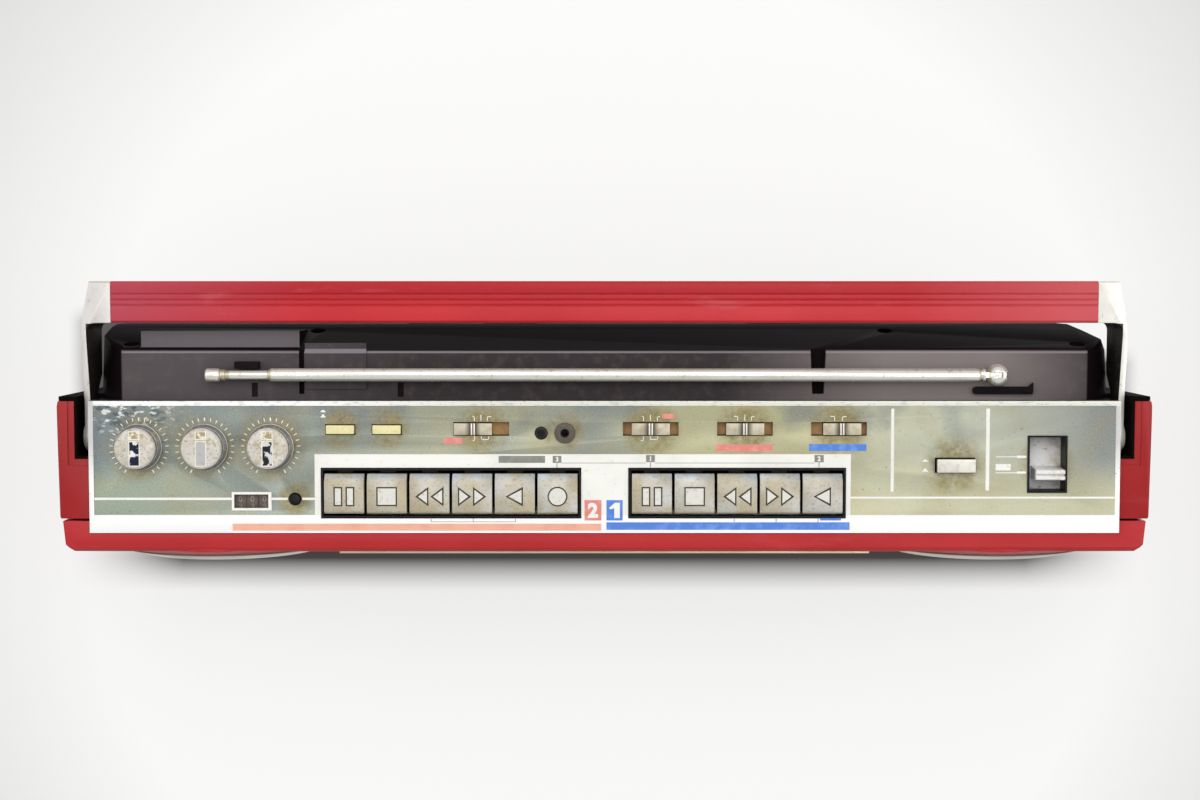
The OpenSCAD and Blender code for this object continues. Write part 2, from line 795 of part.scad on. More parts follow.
module microphone_jack() {
  color([0.15, 0.15, 0.15]) {
    bar_z(mic_x, mic_y, z_under - 5, case_h - 1.2, mic_r - run);
    difference() {
      union() {
        bar_z(jack_x, mic_y, z_under - 1, case_h + 0.6, jack_r);
        slab([jack_x - 4.5, mic_y - 5.5, case_h - jack_len - 2.4],
             [jack_x + 4.5, mic_y + 5.5, z_under - 0.1]);
      }
      bar_z(jack_x, mic_y, case_h + 0.6 - jack_len, case_h + 2, jack_bore_r);
    }
  }
}

// Boards: the main board on its posts with the transformer, and the board under the panel
core_x = -150 * spread;
core_y0 = y_back - 34;
core_y1 = y_back - 8;

module switch_housing(x, len) {
  difference() {
    slab([x - len / 2, switch_y - 4, upper_z + 1],
         [x + len / 2, switch_y + 4, upper_z + board_t + housing_h]);
    slab([x - len / 2 + 2, switch_y - stem_w / 2 - 0.3, upper_z + board_t + 1],
         [x + len / 2 - 2, switch_y + stem_w / 2 + 0.3, upper_z + board_t + housing_h + 1]);
  }
}

module circuit_boards() {
  color("darkgreen") {
    slab([-215, y_cover + 5, board_z], [215, y_back - 6, board_z + board_t]);
    slab([core_x - 20, core_y0, board_z + 1], [core_x + 20, core_y1, board_z + 34]);
    bar_y(core_x, core_y0 - 6, core_y1 + 1, board_z + 18, 13);
    for (x = [-60, -35, 60, 95]) bar_z(x, y_back - 18, board_z + 1, board_z + 24, 7);
    difference() {
      union() {
        slab([-246, upper_y0, upper_z], [232, upper_y1, upper_z + board_t]);
        for (i = [-1 : 1])
          bar_z(knob_x + i * knob_pitch, knob_y, upper_z + 1, upper_z + board_t + pot_h, pot_r);
        for (x = [wide_x, mute_x]) slab([x - 5, button_y - 3.5, upper_z + 1],
                                        [x + 5, button_y + 3.5, upper_z + board_t + housing_h - 5.5]);
        slab([mode_x - 9, mode_y - 5, upper_z], [mode_x + 9, upper_y0 + 1, upper_z + board_t]);
        slab([mode_x - 5, mode_y - 3, upper_z + 1], [mode_x + 5, mode_y + 3, upper_z + board_t + 0.5]);
      }
      for (i = [-1 : 1]) bar_z(knob_x + i * knob_pitch, knob_y, upper_z + board_t + 0.6,
                               case_h, knob_shaft_r + run);
      slab([jack_x - 5, mic_y - 6, upper_z - 1], [jack_x + 5, mic_y + 6, upper_z + 5]);
    }
    for (x = [function_x, edit_x, tape_2_x, tape_1_x]) switch_housing(x, 24);
  }
}

// Centre frame with the dial window, the door openings and the wells behind them

door_z0 = frame_z0 + 8;
door_z1 = door_z0 + door_h;
frame_face = y_front - frame_proud;
door_face = frame_face - 0.8;
well_y0 = y_front + frame_body;
well_y1 = well_y0 + well_d;
well_wall = 1.8;
dial_z = z_top - 18;
dial_h = 17;
dial_x0 = -124;
dial_x1 = 92;
dial_back = 8;
tuner_x = 110;
tuner_r = 8.5;
tuner_shaft_r = 2;
tuner_in = 6.5;
hinge_y = door_face + 3.2;
hinge_z = door_z0 + 2.2;
hinge_r = 1.1;
pin_len = 1.6;

module door_opening(x, y0, y1, grow) {
  slab([x - door_w / 2 - gap - grow, y0, door_z0 - gap - grow],
       [x + door_w / 2 + gap + grow, y1, door_z1 + gap + grow]);
}

module deck_frame() {
  color("silver") difference() {
    union() {
      slab([-frame_x, frame_face, frame_z0], [frame_x, y_front, frame_z1]);
      slab([-frame_x + frame_lip + seat, y_front - 0.1, frame_z0 + frame_lip + seat],
           [frame_x - frame_lip - seat, well_y0, frame_z1 - frame_lip - seat]);
      for (x = [-deck_x, deck_x]) door_opening(x, y_front, well_y1, well_wall);
      slab([dial_x0 - 1.5, y_front, dial_z - dial_h / 2 - 1.5],
           [dial_x1 + 1.5, y_front + dial_back + 1.5, dial_z + dial_h / 2 + 1.5]);
      bar_y(tuner_x, y_front - 0.1, frame_face + tuner_in + 1.6, dial_z, tuner_r + 3.4);
      bar_y(tuner_x, y_front, frame_face + tuner_in + 8, dial_z, 5);
    }
    for (x = [-deck_x, deck_x]) {
      door_opening(x, y_front - 5, well_y1 + 1, 0);
      bar_x(x - door_w / 2 - gap - pin_len, x + door_w / 2 + gap + pin_len,
            hinge_y, hinge_z, hinge_r + run);
    }
    slab([dial_x0, y_front - 5, dial_z - dial_h / 2], [dial_x1, y_front + dial_back, dial_z + dial_h / 2]);
    bar_y(tuner_x, y_front - 5, frame_face + tuner_in, dial_z, tuner_r + 1.2);
    bar_y(tuner_x, y_front - 5, y_back, dial_z, tuner_shaft_r + run);
  }
}

module dial_lens() {
  color([0.8, 0.85, 0.85, 0.5])
    slab([dial_x0 + seat, frame_face, dial_z - dial_h / 2 + seat],
         [dial_x1 - seat, y_front + 0.6, dial_z + dial_h / 2 - seat]);
}

pointer_x = -16;
module dial_pointer() {
  color("red") {
    slab([pointer_x - 0.6, y_front + 1.6, dial_z - dial_h / 2 + 0.5],
         [pointer_x + 0.6, y_front + 2.8, dial_z + dial_h / 2 - 0.5]);
    slab([pointer_x - 3, y_front + 2.4, dial_z + dial_h / 2 - 4],
         [pointer_x + 3, y_front + dial_back - 0.5, dial_z + dial_h / 2 - 0.5]);
  }
}

module tuning_knob() {
  color("silver") {
    turn_y(tuner_x, frame_face - 0.7, dial_z)
      polygon([[0, 0.5], [tuner_r - 2.5, 0.5], [tuner_r - 1.6, 0], [tuner_r - 0.5, 0.6],
               [tuner_r, tuner_in + 0.2], [0, tuner_in + 0.2]]);
    bar_y(tuner_x, frame_face + 1, frame_face + tuner_in + 8.6, dial_z, tuner_shaft_r);
  }
}

// Cassette door with its side rails and shelf, turning on two pins at its lower edge
rail_x = 52;
rail_t = 2;
rail_d = 11;
rail_h = 60;
tape_h = 63.8;
shelf_z = door_z0 + 5;
window_w = 84;
window_h = 36;

module cassette_door(x) {
  back = door_face + door_t;
  color([0.35, 0.35, 0.36]) difference() {
    union() {
      along_x(x - door_w / 2, x + door_w / 2)
        polygon([[door_face, door_z0 + 2], [door_face + 2, door_z0], [back, door_z0], [back, door_z1],
                 [door_face + 1, door_z1], [door_face, door_z1 - 1]]);
      for (s = [-1, 1]) translate([x + s * rail_x, 0, 0])
        along_x(-rail_t / 2, rail_t / 2)
          polygon([[back - 1, shelf_z - 2], [back + rail_d, shelf_z - 2],
                   [back + rail_d, shelf_z + rail_h - 14], [back + 3, shelf_z + rail_h],
                   [back - 1, shelf_z + rail_h]]);
      slab([x - rail_x, back - 1, shelf_z - 2], [x + rail_x, back + rail_d, shelf_z]);
      bar_x(x - door_w / 2 - pin_len, x + door_w / 2 + pin_len, hinge_y, hinge_z, hinge_r);
    }
    slab([x - window_w / 2, door_face - 1, reel_z - window_h / 2],
         [x + window_w / 2, door_face + 0.7, reel_z + window_h / 2]);
    slab([x - 22, door_face - 1, door_z1 - 7], [x + 22, door_face + 0.7, door_z1 - 4]);
  }
}

module deck_2_door() { cassette_door(-deck_x); }
module deck_1_door() { cassette_door(deck_x); }

// Tape mechanism: a plate behind each well, its motor, and the brackets and axle of the keys
reel_z = shelf_z + 28.5;
reel_shaft_r = 1.5;
capstan_x = -31;
capstan_z = shelf_z + 54.5;
capstan_r = 1.2;
plate_t = 2;
motor_x = 40;
motor_z = shelf_z + 13;
motor_r = 15;
motor_l = 24;

module deck_plate(x, row_x, n) {
  half = row_half(n) - gap;
  difference() {
    union() {
      slab([x - door_w / 2 - 2, well_y1, door_z0 - 2],
           [x + door_w / 2 + 2, well_y1 + plate_t, door_z1 + 2]);
      bar_y(x + motor_x, well_y1 + 1, well_y1 + plate_t + motor_l, motor_z, motor_r);
      for (s = [-1, 1]) translate([row_x + s * (n % 2 == 0 ? 2 : 1.5) * key_pitch, 0, 0])
        along_x(-1, 1) polygon([[well_y1 + 1, door_z1 - 2.5], [well_y1 + plate_t, door_z1 - 2.5],
          [key_axle_y + 2, key_axle_z - 12], [key_axle_y + 2, key_axle_z + 1.8],
          [key_axle_y - 2, key_axle_z + 1.8], [key_axle_y - 2, key_axle_z - 9],
          [well_y1 + 4, door_z1 + 2], [well_y1 + 1, door_z1 + 2]]);
      bar_x(row_x - half, row_x + half, key_axle_y, key_axle_z, key_axle_r);
    }
    for (s = [-1, 1])
      bar_y(x + s * reel_pitch / 2, well_y1 - 1, well_y1 + plate_t + 1, reel_z, reel_shaft_r + run);
    bar_y(x + capstan_x, well_y1 - 1, well_y1 + plate_t + 1, capstan_z, capstan_r + run);
  }
}

module deck_chassis() {
  color("lightgray") {
    deck_plate(-deck_x, row_2_x, 6);
    deck_plate(deck_x, row_1_x, 5);
  }
}

// Erase and playing heads on their slide, with the pinch roller beside them
module tape_heads() {
  head_z = shelf_z + tape_h + 1.4;
  color("gray") for (x = [-deck_x, deck_x]) {
    slab([x - 40, well_y1 - 1.6, head_z], [x + 26, well_y1 - 0.1, head_z + 10]);
    slab([x - 8, well_y1 - 10, head_z], [x + 8, well_y1 - 1, head_z + 9]);
    slab([x + 13, well_y1 - 9, head_z], [x + 22, well_y1 - 1, head_z + 8]);
    bar_y(x + capstan_x, well_y1 - 10, well_y1 - 1, head_z + 5.6, 5.5);
  }
}

// Reel spindle: turntable, hub with three fins, shaft and clip
module reel(x) {
  hub = 8.6;
  color("white") {
    bar_y(x, well_y1 - 2, well_y1 - 0.2, reel_z, 7.5);
    bar_y(x, well_y1 - hub, well_y1 - 1, reel_z, 2.6);
    for (a = [0 : 120 : 240]) translate([x, well_y1 - hub + 1, reel_z]) rotate([0, a, 0])
      slab([0, 0, -0.7], [4, hub - 2, 0.7]);
    bar_y(x, well_y1 - 1, well_y1 + plate_t + 3, reel_z, reel_shaft_r);
    bar_y(x, well_y1 + plate_t + 0.3, well_y1 + plate_t + 1.5, reel_z, 3);
  }
}

module deck_2_reel_left() { reel(-deck_x - reel_pitch / 2); }
module deck_2_reel_right() { reel(-deck_x + reel_pitch / 2); }
module deck_1_reel_left() { reel(deck_x - reel_pitch / 2); }
module deck_1_reel_right() { reel(deck_x + reel_pitch / 2); }

// Capstan with its flywheel behind the plate
module capstan(x) {
  y0 = well_y1 + plate_t + 2;
  color("gray") {
    bar_y(x + capstan_x, well_y1 - 9, y0 + 1, capstan_z, capstan_r);
    turn_y(x + capstan_x, y0, capstan_z)
      polygon([[0, 0], [19, 0], [19, 2], [18, 3], [19, 4], [19, 6], [15, 6], [14, 3.5], [5, 3.5], [4, 7],
               [0, 7]]);
  }
}

module deck_2_capstan() { capstan(-deck_x); }
module deck_1_capstan() { capstan(deck_x); }

// Battery cover, hinged on its lower edge by two hooks, with two latches at the top
cover_plate = 2.2;
module battery_cover() {
  x0 = battery_x - battery_w / 2 + gap;
  x1 = battery_x + battery_w / 2 - gap;
  z0 = battery_z + gap + 0.2;
  z1 = battery_z + battery_h - gap;
  color([0.33, 0.31, 0.32]) difference() {
    union() {
      slab([x0, y_rear - cover_plate, z0 + cover_plate / 2], [x1, y_rear, z1]);
      bar_x(x0, x1, y_rear - cover_plate / 2, z0 + cover_plate / 2, cover_plate / 2);
    }
    for (x = [battery_x - 70, battery_x + 70]) {
      slab([x - 14, y_rear - 1, z1 - 11], [x + 14, y_rear + 1, z1 - 4]);
      for (i = [0 : 3])
        slab([x - 14, y_rear - 0.5, z1 - 15 - 3 * i], [x + 14, y_rear + 1, z1 - 13.8 - 3 * i]);
    }
  }
}

// Mains inlet: a socket with two pins in a round-ended recess
socket_w = 15.4;
socket_h = 8;
socket_d = 11;
socket_pin_r = 1.15;
socket_pitch = 8.6;

module mains_inlet() {
  color([0.1, 0.1, 0.1]) translate([inlet_x, 0, inlet_z]) {
    difference() {
      slab([-inlet_w / 2, y_rear - wall - 12, -inlet_h / 2], [inlet_w / 2, y_rear - 0.2, inlet_h / 2]);
      along_y(y_rear - socket_d, y_rear + 1)
        round_rect([-socket_w / 2, -socket_h / 2], [socket_w / 2, socket_h / 2], socket_h / 2 - 0.2);
    }
    for (s = [-1, 1]) bar_y(s * socket_pitch / 2, y_rear - socket_d - 1, y_rear - 1.5, 0, socket_pin_r);
  }
}

module rubber_feet() {
  color([0.12, 0.12, 0.12]) both_sides() for (y = [y_front + 3.5, y_rear - 16]) along_z(0, z_floor)
    round_rect([195, y], [231, y + 10], 3);
}

module case_screws() {
  color("gray") screw_places() {
    bar_y(0, y_back + screw_in + 0.05, y_back + screw_in + 2, 0, 3.3);
    bar_y(0, y_back - 3, y_back + screw_in + 0.1, 0, 1.5);
  }
}

// Handle: the red grip and two arms that turn on the cabinet's trunnions

grip_half = arm_in - 12.1;
grip_y0 = pivot_y + arm_len - grip_d / 2;
grip_y1 = grip_y0 + grip_d;
grip_z1 = case_h - 3;
grip_z0 = grip_z1 - grip_h;

module handle_grip() {
  color([0.76, 0.22, 0.24]) along_x(-grip_half, grip_half) difference() {
    polygon([[grip_y0 + 1.5, grip_z0 + 3], [grip_y0 + 4, grip_z0], [grip_y1 - 4, grip_z0],
             [grip_y1, grip_z0 + 4], [grip_y1, grip_z1 - 1.2], [grip_y1 - 1.2, grip_z1],
             [grip_y0 + 1.2, grip_z1], [grip_y0, grip_z1 - 1.4], [grip_y0, grip_z1 - 5],
             [grip_y0 + 1.5, grip_z1 - 6.5]]);
    for (d = [6.4, 9.3, 12.1]) translate([grip_y1 - d - 0.35, grip_z1 - 0.6]) square([0.7, 1]);
  }
}

module arm_profile() {
  narrow = hub_r - 0.5;
  translate([pivot_y, pivot_z]) circle(r = hub_r);
  polygon([[pivot_y, pivot_z - narrow], [y_back + 3.4, pivot_z - narrow], [y_back + 12, grip_z0 - 5],
           [grip_y1 - 6, grip_z0 - 5], [grip_y1, grip_z0 + 3], [grip_y1, grip_z1 - 1],
           [grip_y1 - 1, grip_z1], [grip_y0 - 6, grip_z1], [pivot_y + 18, pivot_z + narrow],
           [pivot_y, pivot_z + narrow]]);
}

module arm_plan() {
  r = 4;
  inner = [for (a = [0 : 15 : 90]) [arm_in - r + r * cos(a), grip_y0 - r + r * sin(a)]];
  polygon(concat([[arm_in, pivot_y - hub_r - 1]], inner,
    [[grip_half, grip_y0], [grip_half, grip_y1 + 1], [arm_out - 4.6, grip_y1 + 1],
     [arm_out - 4.2, grip_y1 - 3], [arm_out - 0.8, grip_y0 + 1], [arm_out, grip_y0 - 14],
     [arm_out, pivot_y - hub_r - 1]]));
}

module handle_arms() {
  color("silver") both_sides() difference() {
    union() {
      intersection() {
        along_x(grip_half, arm_out) arm_profile();
        along_z(0, case_h) arm_plan();
      }
      bar_x(arm_out - 0.5, hub_out, pivot_y, pivot_z, hub_r - 1);
    }
    bar_x(arm_in - 1, hub_out - 0.8, pivot_y, pivot_z, trunnion_r + run);
  }
}

// Antenna: a round base with a slot for the knuckle, and four tubes that slide in each other

ball_r = 5.4;
tongue_t = 2.8;
knuckle_pin_r = 1.2;
mouth_x = mast_x - mast_len + 32.3;
tip_x = mast_x - mast_len;
cap_l = 7.5;
tube_wall = 0.44;
tube_2_r = tube_r - tube_wall - run;
tube_3_r = tube_2_r - tube_wall - run;
tip_r = tube_3_r - tube_wall - run;
sleeve_x = mast_x - 10;

module antenna_base() {
  color("silver") difference() {
    union() {
      bar_z(mast_x, mast_y, rear_top, mast_z, ball_r);
      translate([mast_x, mast_y, mast_z]) sphere(r = ball_r);
    }
    difference() {
      slab([mast_x - 9, mast_y - tongue_t / 2 - 0.15, rear_top + 1.9],
           [mast_x + 9, mast_y + tongue_t / 2 + 0.15, mast_z + 9]);
      bar_y(mast_x, mast_y - 3, mast_y + 3, mast_z, knuckle_pin_r);
    }
  }
}

module tube(x0, x1, r, bore) {
  difference() {
    bar_x(x0, x1, mast_y, mast_z, r);
    bar_x(x0 - 1, x1 + 1, mast_y, mast_z, bore);
  }
}

module antenna_tube_1() {
  t = tongue_t / 2;
  color("silver") {
    tube(mouth_x, sleeve_x - 3, tube_r, tube_2_r + run);
    difference() {
      union() {
        bar_x(sleeve_x - 3, sleeve_x + 1.2, mast_y, mast_z, tube_r);
        bar_x(sleeve_x + 1.1, sleeve_x + 3, mast_y, mast_z, tube_r - 0.7);
        bar_x(sleeve_x + 2.6, sleeve_x + 4, mast_y, mast_z, tube_r - 0.2);
        slab([sleeve_x + 3.8, mast_y - t, mast_z - 2.6], [mast_x, mast_y + t, mast_z + 2.6]);
        bar_y(mast_x, mast_y - t, mast_y + t, mast_z, 2.9);
      }
      bar_y(mast_x, mast_y - 5, mast_y + 5, mast_z, knuckle_pin_r + run);
    }
  }
}

module antenna_tube_2() {
  color("silver") tube(mouth_x - 0.8, sleeve_x - 8, tube_2_r, tube_3_r + run);
}

module antenna_tube_3() {
  color("silver") {
    tube(tip_x + cap_l + 0.3, sleeve_x - 12, tube_3_r, tip_r + run);
    difference() {
      bar_x(tip_x + cap_l + 0.3, tip_x + cap_l + 2.5, mast_y, mast_z, tube_3_r + 0.5);
      bar_x(tip_x, tip_x + 20, mast_y, mast_z, tip_r + run);
    }
  }
}

module antenna_tip() {
  color("silver") {
    bar_x(tip_x + 1, sleeve_x - 16, mast_y, mast_z, tip_r);
    translate([tip_x, mast_y, mast_z]) rotate([0, 90, 0]) rotate_extrude()
      polygon([[0, 0], [tube_r - 0.7, 0], [tube_r, 0.7], [tube_r, cap_l - 0.8], [tube_r - 0.8, cap_l],
               [0, cap_l]]);
  }
}

front_cabinet();
rear_cabinet();
side_cover_left();
side_cover_right();
control_panel();
key_frames();
speaker_rings();
speaker_grilles();
speaker_drivers();
deck_frame();
dial_lens();
deck_chassis();
tape_heads();
circuit_boards();
battery_cover();
mains_inlet();
microphone_jack();
rubber_feet();
case_screws();
handle_grip();
handle_arms();
antenna_base();
antenna_tube_1();
antenna_tube_2();
antenna_tube_3();
antenna_tip();
deck_2_door();
deck_1_door();
deck_2_reel_left();
deck_2_reel_right();
deck_1_reel_left();
deck_1_reel_right();
deck_2_capstan();
deck_1_capstan();
tuning_knob();
dial_pointer();
counter_wheels();
counter_reset();
volume_knob();
balance_knob();
tone_knob();
function_switch();
edit_switch();
tape_switch_2();
tape_switch_1();
wide_button();
mute_button();
fm_mode_button();
band_lever();
key_2_pause();
key_2_stop();
key_2_rewind();
key_2_forward();
key_2_play();
key_2_record();
key_1_pause();
key_1_stop();
key_1_rewind();
key_1_forward();
key_1_play();
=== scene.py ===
"""Looks of a dual cassette radio recorder, standing on its feet and seen from above."""
import bpy
import bmesh
import json
import math
from mathutils import Matrix, Vector


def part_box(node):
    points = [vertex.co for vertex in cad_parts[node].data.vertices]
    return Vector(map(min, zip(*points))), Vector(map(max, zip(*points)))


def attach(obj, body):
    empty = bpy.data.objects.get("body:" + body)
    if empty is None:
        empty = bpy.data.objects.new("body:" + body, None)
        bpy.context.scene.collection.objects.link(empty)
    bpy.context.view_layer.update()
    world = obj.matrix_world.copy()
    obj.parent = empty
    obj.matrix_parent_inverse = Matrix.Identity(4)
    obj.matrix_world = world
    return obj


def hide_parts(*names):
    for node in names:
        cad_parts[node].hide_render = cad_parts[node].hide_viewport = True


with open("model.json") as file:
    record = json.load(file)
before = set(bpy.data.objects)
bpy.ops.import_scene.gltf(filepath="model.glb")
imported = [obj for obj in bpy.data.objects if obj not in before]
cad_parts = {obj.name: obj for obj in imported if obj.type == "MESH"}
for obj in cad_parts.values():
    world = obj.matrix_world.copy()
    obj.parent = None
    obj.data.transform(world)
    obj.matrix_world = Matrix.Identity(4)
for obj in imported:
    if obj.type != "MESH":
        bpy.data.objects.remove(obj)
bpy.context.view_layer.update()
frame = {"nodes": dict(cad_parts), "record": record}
cad = frame["nodes"]
# One millimetre in metres, the unit of the frame
MM = 0.001


# The studio: a pale matt table lit by a large soft lamp overhead and two weaker ones at the
# sides. The camera hangs almost a metre over the recorder, tilted 3.5 degrees to its front.

def linear(code):
    """An sRGB hex colour as linear red, green, blue and alpha."""
    parts = [int(code[i:i + 2], 16) / 255 for i in (1, 3, 5)]
    return [p / 12.92 if p <= 0.04045 else ((p + 0.055) / 1.055) ** 2.4 for p in parts] + [1.0]


def add(tree, kind, settings=None, links=None):
    """A node with its settings, and the sockets that feed it."""
    made = tree.nodes.new(kind)
    for key, value in (settings or {}).items():
        if isinstance(key, int) or key in made.inputs:
            made.inputs[key].default_value = value
        else:
            setattr(made, key, value)
    for key, source in (links or {}).items():
        tree.links.new(source, made.inputs[key])
    return made


class Finish:
    """A material, built up as a paint shop would: a base coat, then dirt and wear over it."""

    def __init__(self, name, colour, roughness, metallic=0.0, specular=0.5):
        self.made = bpy.data.materials.new(name)
        self.made.use_nodes = True
        self.tree = self.made.node_tree
        self.shader = self.tree.nodes["Principled BSDF"]
        self.shader.inputs["Base Color"].default_value = linear(colour)
        self.shader.inputs["Roughness"].default_value = roughness
        self.shader.inputs["Metallic"].default_value = metallic
        self.shader.inputs["Specular IOR Level"].default_value = specular
        self.place = add(self.tree, "ShaderNodeTexCoord").outputs["Object"]

    def patches(self, size_mm, low, high, detail=4.0, stretch=(1, 1, 1), shift=0.0):
        """Soft patches of that size: 0 where the noise is under low, 1 where it is over high."""
        moved = add(self.tree, "ShaderNodeMapping",
                    {"Location": (shift, shift, shift), "Scale": stretch}, {"Vector": self.place})
        noise = add(self.tree, "ShaderNodeTexNoise", {"Scale": 1000 / size_mm, "Detail": detail},
                    {"Vector": moved.outputs["Vector"]})
        spread = add(self.tree, "ShaderNodeMapRange", {"From Min": low, "From Max": high},
                     {"Value": noise.outputs["Fac"]})
        return spread.outputs["Result"]

    def between(self, axis, low_mm, high_mm, size=False):
        """Rises from 0 to 1 between two places along an axis, or along its size on both sides."""
        apart = add(self.tree, "ShaderNodeSeparateXYZ", links={0: self.place})
        value = apart.outputs["XYZ".index(axis)]
        if size:
            value = add(self.tree, "ShaderNodeMath", {"operation": "ABSOLUTE"}, {0: value}).outputs[0]
        spread = add(self.tree, "ShaderNodeMapRange",
                     {"From Min": low_mm * MM, "From Max": high_mm * MM}, {"Value": value})
        return spread.outputs["Result"]

    def near(self, spot_mm, first_mm, second_mm, place=None):
        """Is 0 at the first distance from a point and 1 at the second."""
        away = add(self.tree, "ShaderNodeVectorMath",
                   {"operation": "DISTANCE", 1: [value * MM for value in spot_mm]}, {0: place or self.place})
        spread = add(self.tree, "ShaderNodeMapRange",
                     {"From Min": first_mm * MM, "From Max": second_mm * MM},
                     {"Value": away.outputs["Value"]})
        return spread.outputs["Result"]

    def mask(self, *factors):
        """High only where all of these factors are. A plain number weakens the whole."""
        whole = factors[0]
        for factor in factors[1:]:
            joined = add(self.tree, "ShaderNodeMath", {"operation": "MULTIPLY", "use_clamp": True},
                         {0: whole})
            if isinstance(factor, (int, float)):
                joined.inputs[1].default_value = factor
            else:
                self.tree.links.new(factor, joined.inputs[1])
            whole = joined.outputs[0]
        return whole

    def coat(self, where, colour, roughness=None, metallic=None):
        """Lays another colour over the finish where the factors are high, with its own gloss."""
        factor = self.mask(*where) if isinstance(where, tuple) else where
        for name, value in (("Base Color", linear(colour)), ("Roughness", roughness),
                            ("Metallic", metallic)):
            if value is None:
                continue
            socket = self.shader.inputs[name]
            mixed = add(self.tree, "ShaderNodeMixRGB", links={"Fac": factor})
            old = socket.default_value
            mixed.inputs["Color1"].default_value = old if name == "Base Color" else [old] * 3 + [1]
            mixed.inputs["Color2"].default_value = value if name == "Base Color" else [value] * 3 + [1]
            if socket.links:
                self.tree.links.new(socket.links[0].from_socket, mixed.inputs["Color1"])
            self.tree.links.new(mixed.outputs["Color"], socket)

    def grain(self, size_mm, depth_mm, strength=0.5, detail=2.0, stretch=(1, 1, 1)):
        """A fine surface texture of that size and depth."""
        bump = add(self.tree, "ShaderNodeBump", {"Strength": strength, "Distance": depth_mm * MM},
                   {"Height": self.patches(size_mm, 0.3, 0.7, detail, stretch)})
        if self.shader.inputs["Normal"].links:
            self.tree.links.new(self.shader.inputs["Normal"].links[0].from_socket, bump.inputs["Normal"])
        self.tree.links.new(bump.outputs["Normal"], self.shader.inputs["Normal"])


scene = bpy.context.scene
scene.view_settings.view_transform = "Standard"

camera_data = bpy.data.cameras.new("camera")
camera_data.lens = 57.45
camera_data.sensor_width = 36
camera = bpy.data.objects.new("camera", camera_data)
camera.location = (-2.2 * MM, 69.75 * MM, 1086.2 * MM)
camera.rotation_euler = (math.radians(-3.5), 0, 0)
scene.collection.objects.link(camera)
scene.camera = camera

# Matt white paint on board: it keeps the soft shadow, and the camera sees it lighter than it is
# lit, most of all near the recorder
board = Finish("table_paint", "#F3F3F2", 0.6)
away = add(board.tree, "ShaderNodeVectorMath", {"operation": "DISTANCE", 1: (0.0, -0.05, 0.0)},
           {0: board.place})
fade = add(board.tree, "ShaderNodeMapRange",
           {"From Min": 0.3, "From Max": 0.46, "To Min": 1.0, "To Max": 0.62},
           {"Value": away.outputs["Value"]})
glow = add(board.tree, "ShaderNodeEmission", {"Color": linear("#FBFBFA")},
           {"Strength": fade.outputs["Result"]})
rays = add(board.tree, "ShaderNodeLightPath")
seen = add(board.tree, "ShaderNodeMath", {"operation": "MAXIMUM"},
           {0: rays.outputs["Is Camera Ray"], 1: rays.outputs["Is Glossy Ray"]})
# Close to the recorder it keeps its own shading, over a darker grey that is painted contact shadow
leaning = add(board.tree, "ShaderNodeVectorMath", {"operation": "DOT_PRODUCT", 1: (0.04, 1.0, 0.0)},
              {0: board.place})
behind = add(board.tree, "ShaderNodeMapRange", {"From Min": 0.046, "From Max": 0.036},
             {"Value": leaning.outputs["Value"]})
ahead = board.mask(board.between("Y", -106, -87), board.between("X", 305, 240, True))
beside = board.mask(board.between("Y", -75, -65), board.between("X", 304, 290, True))
around = add(board.tree, "ShaderNodeMath", {"operation": "MAXIMUM"}, {0: ahead, 1: beside})
painted_contact_shadow = board.mask(around.outputs[0], behind.outputs["Result"])
board.coat(painted_contact_shadow, "#55524F")
lit = add(board.tree, "ShaderNodeMath", {"operation": "SUBTRACT", "use_clamp": True},
          {0: seen.outputs[0], 1: painted_contact_shadow})
mixed = add(board.tree, "ShaderNodeMixShader",
            links={0: board.mask(lit.outputs[0], 0.7), 1: board.shader.outputs[0], 2: glow.outputs[0]})
board.tree.links.new(mixed.outputs[0], board.tree.nodes["Material Output"].inputs["Surface"])
table_mesh = bmesh.new()
bmesh.ops.create_grid(table_mesh, x_segments=1, y_segments=1, size=3.0)
mesh = bpy.data.meshes.new("table")
table_mesh.to_mesh(mesh)
table_mesh.free()
mesh.materials.append(board.made)
table = bpy.data.objects.new("table", mesh)
scene.collection.objects.link(table)

world = bpy.data.worlds.new("world")
scene.world = world
world.use_nodes = True
world.node_tree.nodes["Background"].inputs["Color"].default_value = linear("#F2F2F4")
world.node_tree.nodes["Background"].inputs["Strength"].default_value = 0.55

for name, spot, size, watts in (
    ("lamp_overhead", (0.0, 0.75, 1.7), 1.5, 16),
    ("lamp_left", (-1.3, 0.2, 1.1), 1.3, 7),
    ("lamp_right", (1.3, 0.2, 1.1), 1.3, 7),
):
    lamp_data = bpy.data.lights.new(name, "AREA")
    lamp_data.size = size
    lamp_data.energy = watts
    lamp = bpy.data.objects.new(name, lamp_data)
    lamp.location = spot
    lamp.rotation_euler = Vector(spot).to_track_quat("Z", "Y").to_euler()
    scene.collection.objects.link(lamp)


# Front cabinet: one red shell moulded in ABS, with a bezel for the panel and two round collars
# for the loudspeakers. Six screws hold it to the rear cabinet.


def body_of(node):
    """The body that a CAD node belongs to."""
    for body, nodes in frame["record"]["behaviour"]["bodies"].items():
        if node in nodes:
            return body


def finish_piece(bm, name, finishes, body):
    """Turns a bmesh into a piece that rides on a body."""
    made = bpy.data.meshes.new(name)
    bm.to_mesh(made)
    bm.free()
    for finish in finishes:
        made.materials.append(finish.made)
    piece = bpy.data.objects.new(name, made)
    scene.collection.objects.link(piece)
    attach(piece, body)
    return piece


def paint(node, finish):
    """Gives a CAD node that keeps its own shape a finish."""
    cad[node].data.materials.clear()
    cad[node].data.materials.append(finish.made)


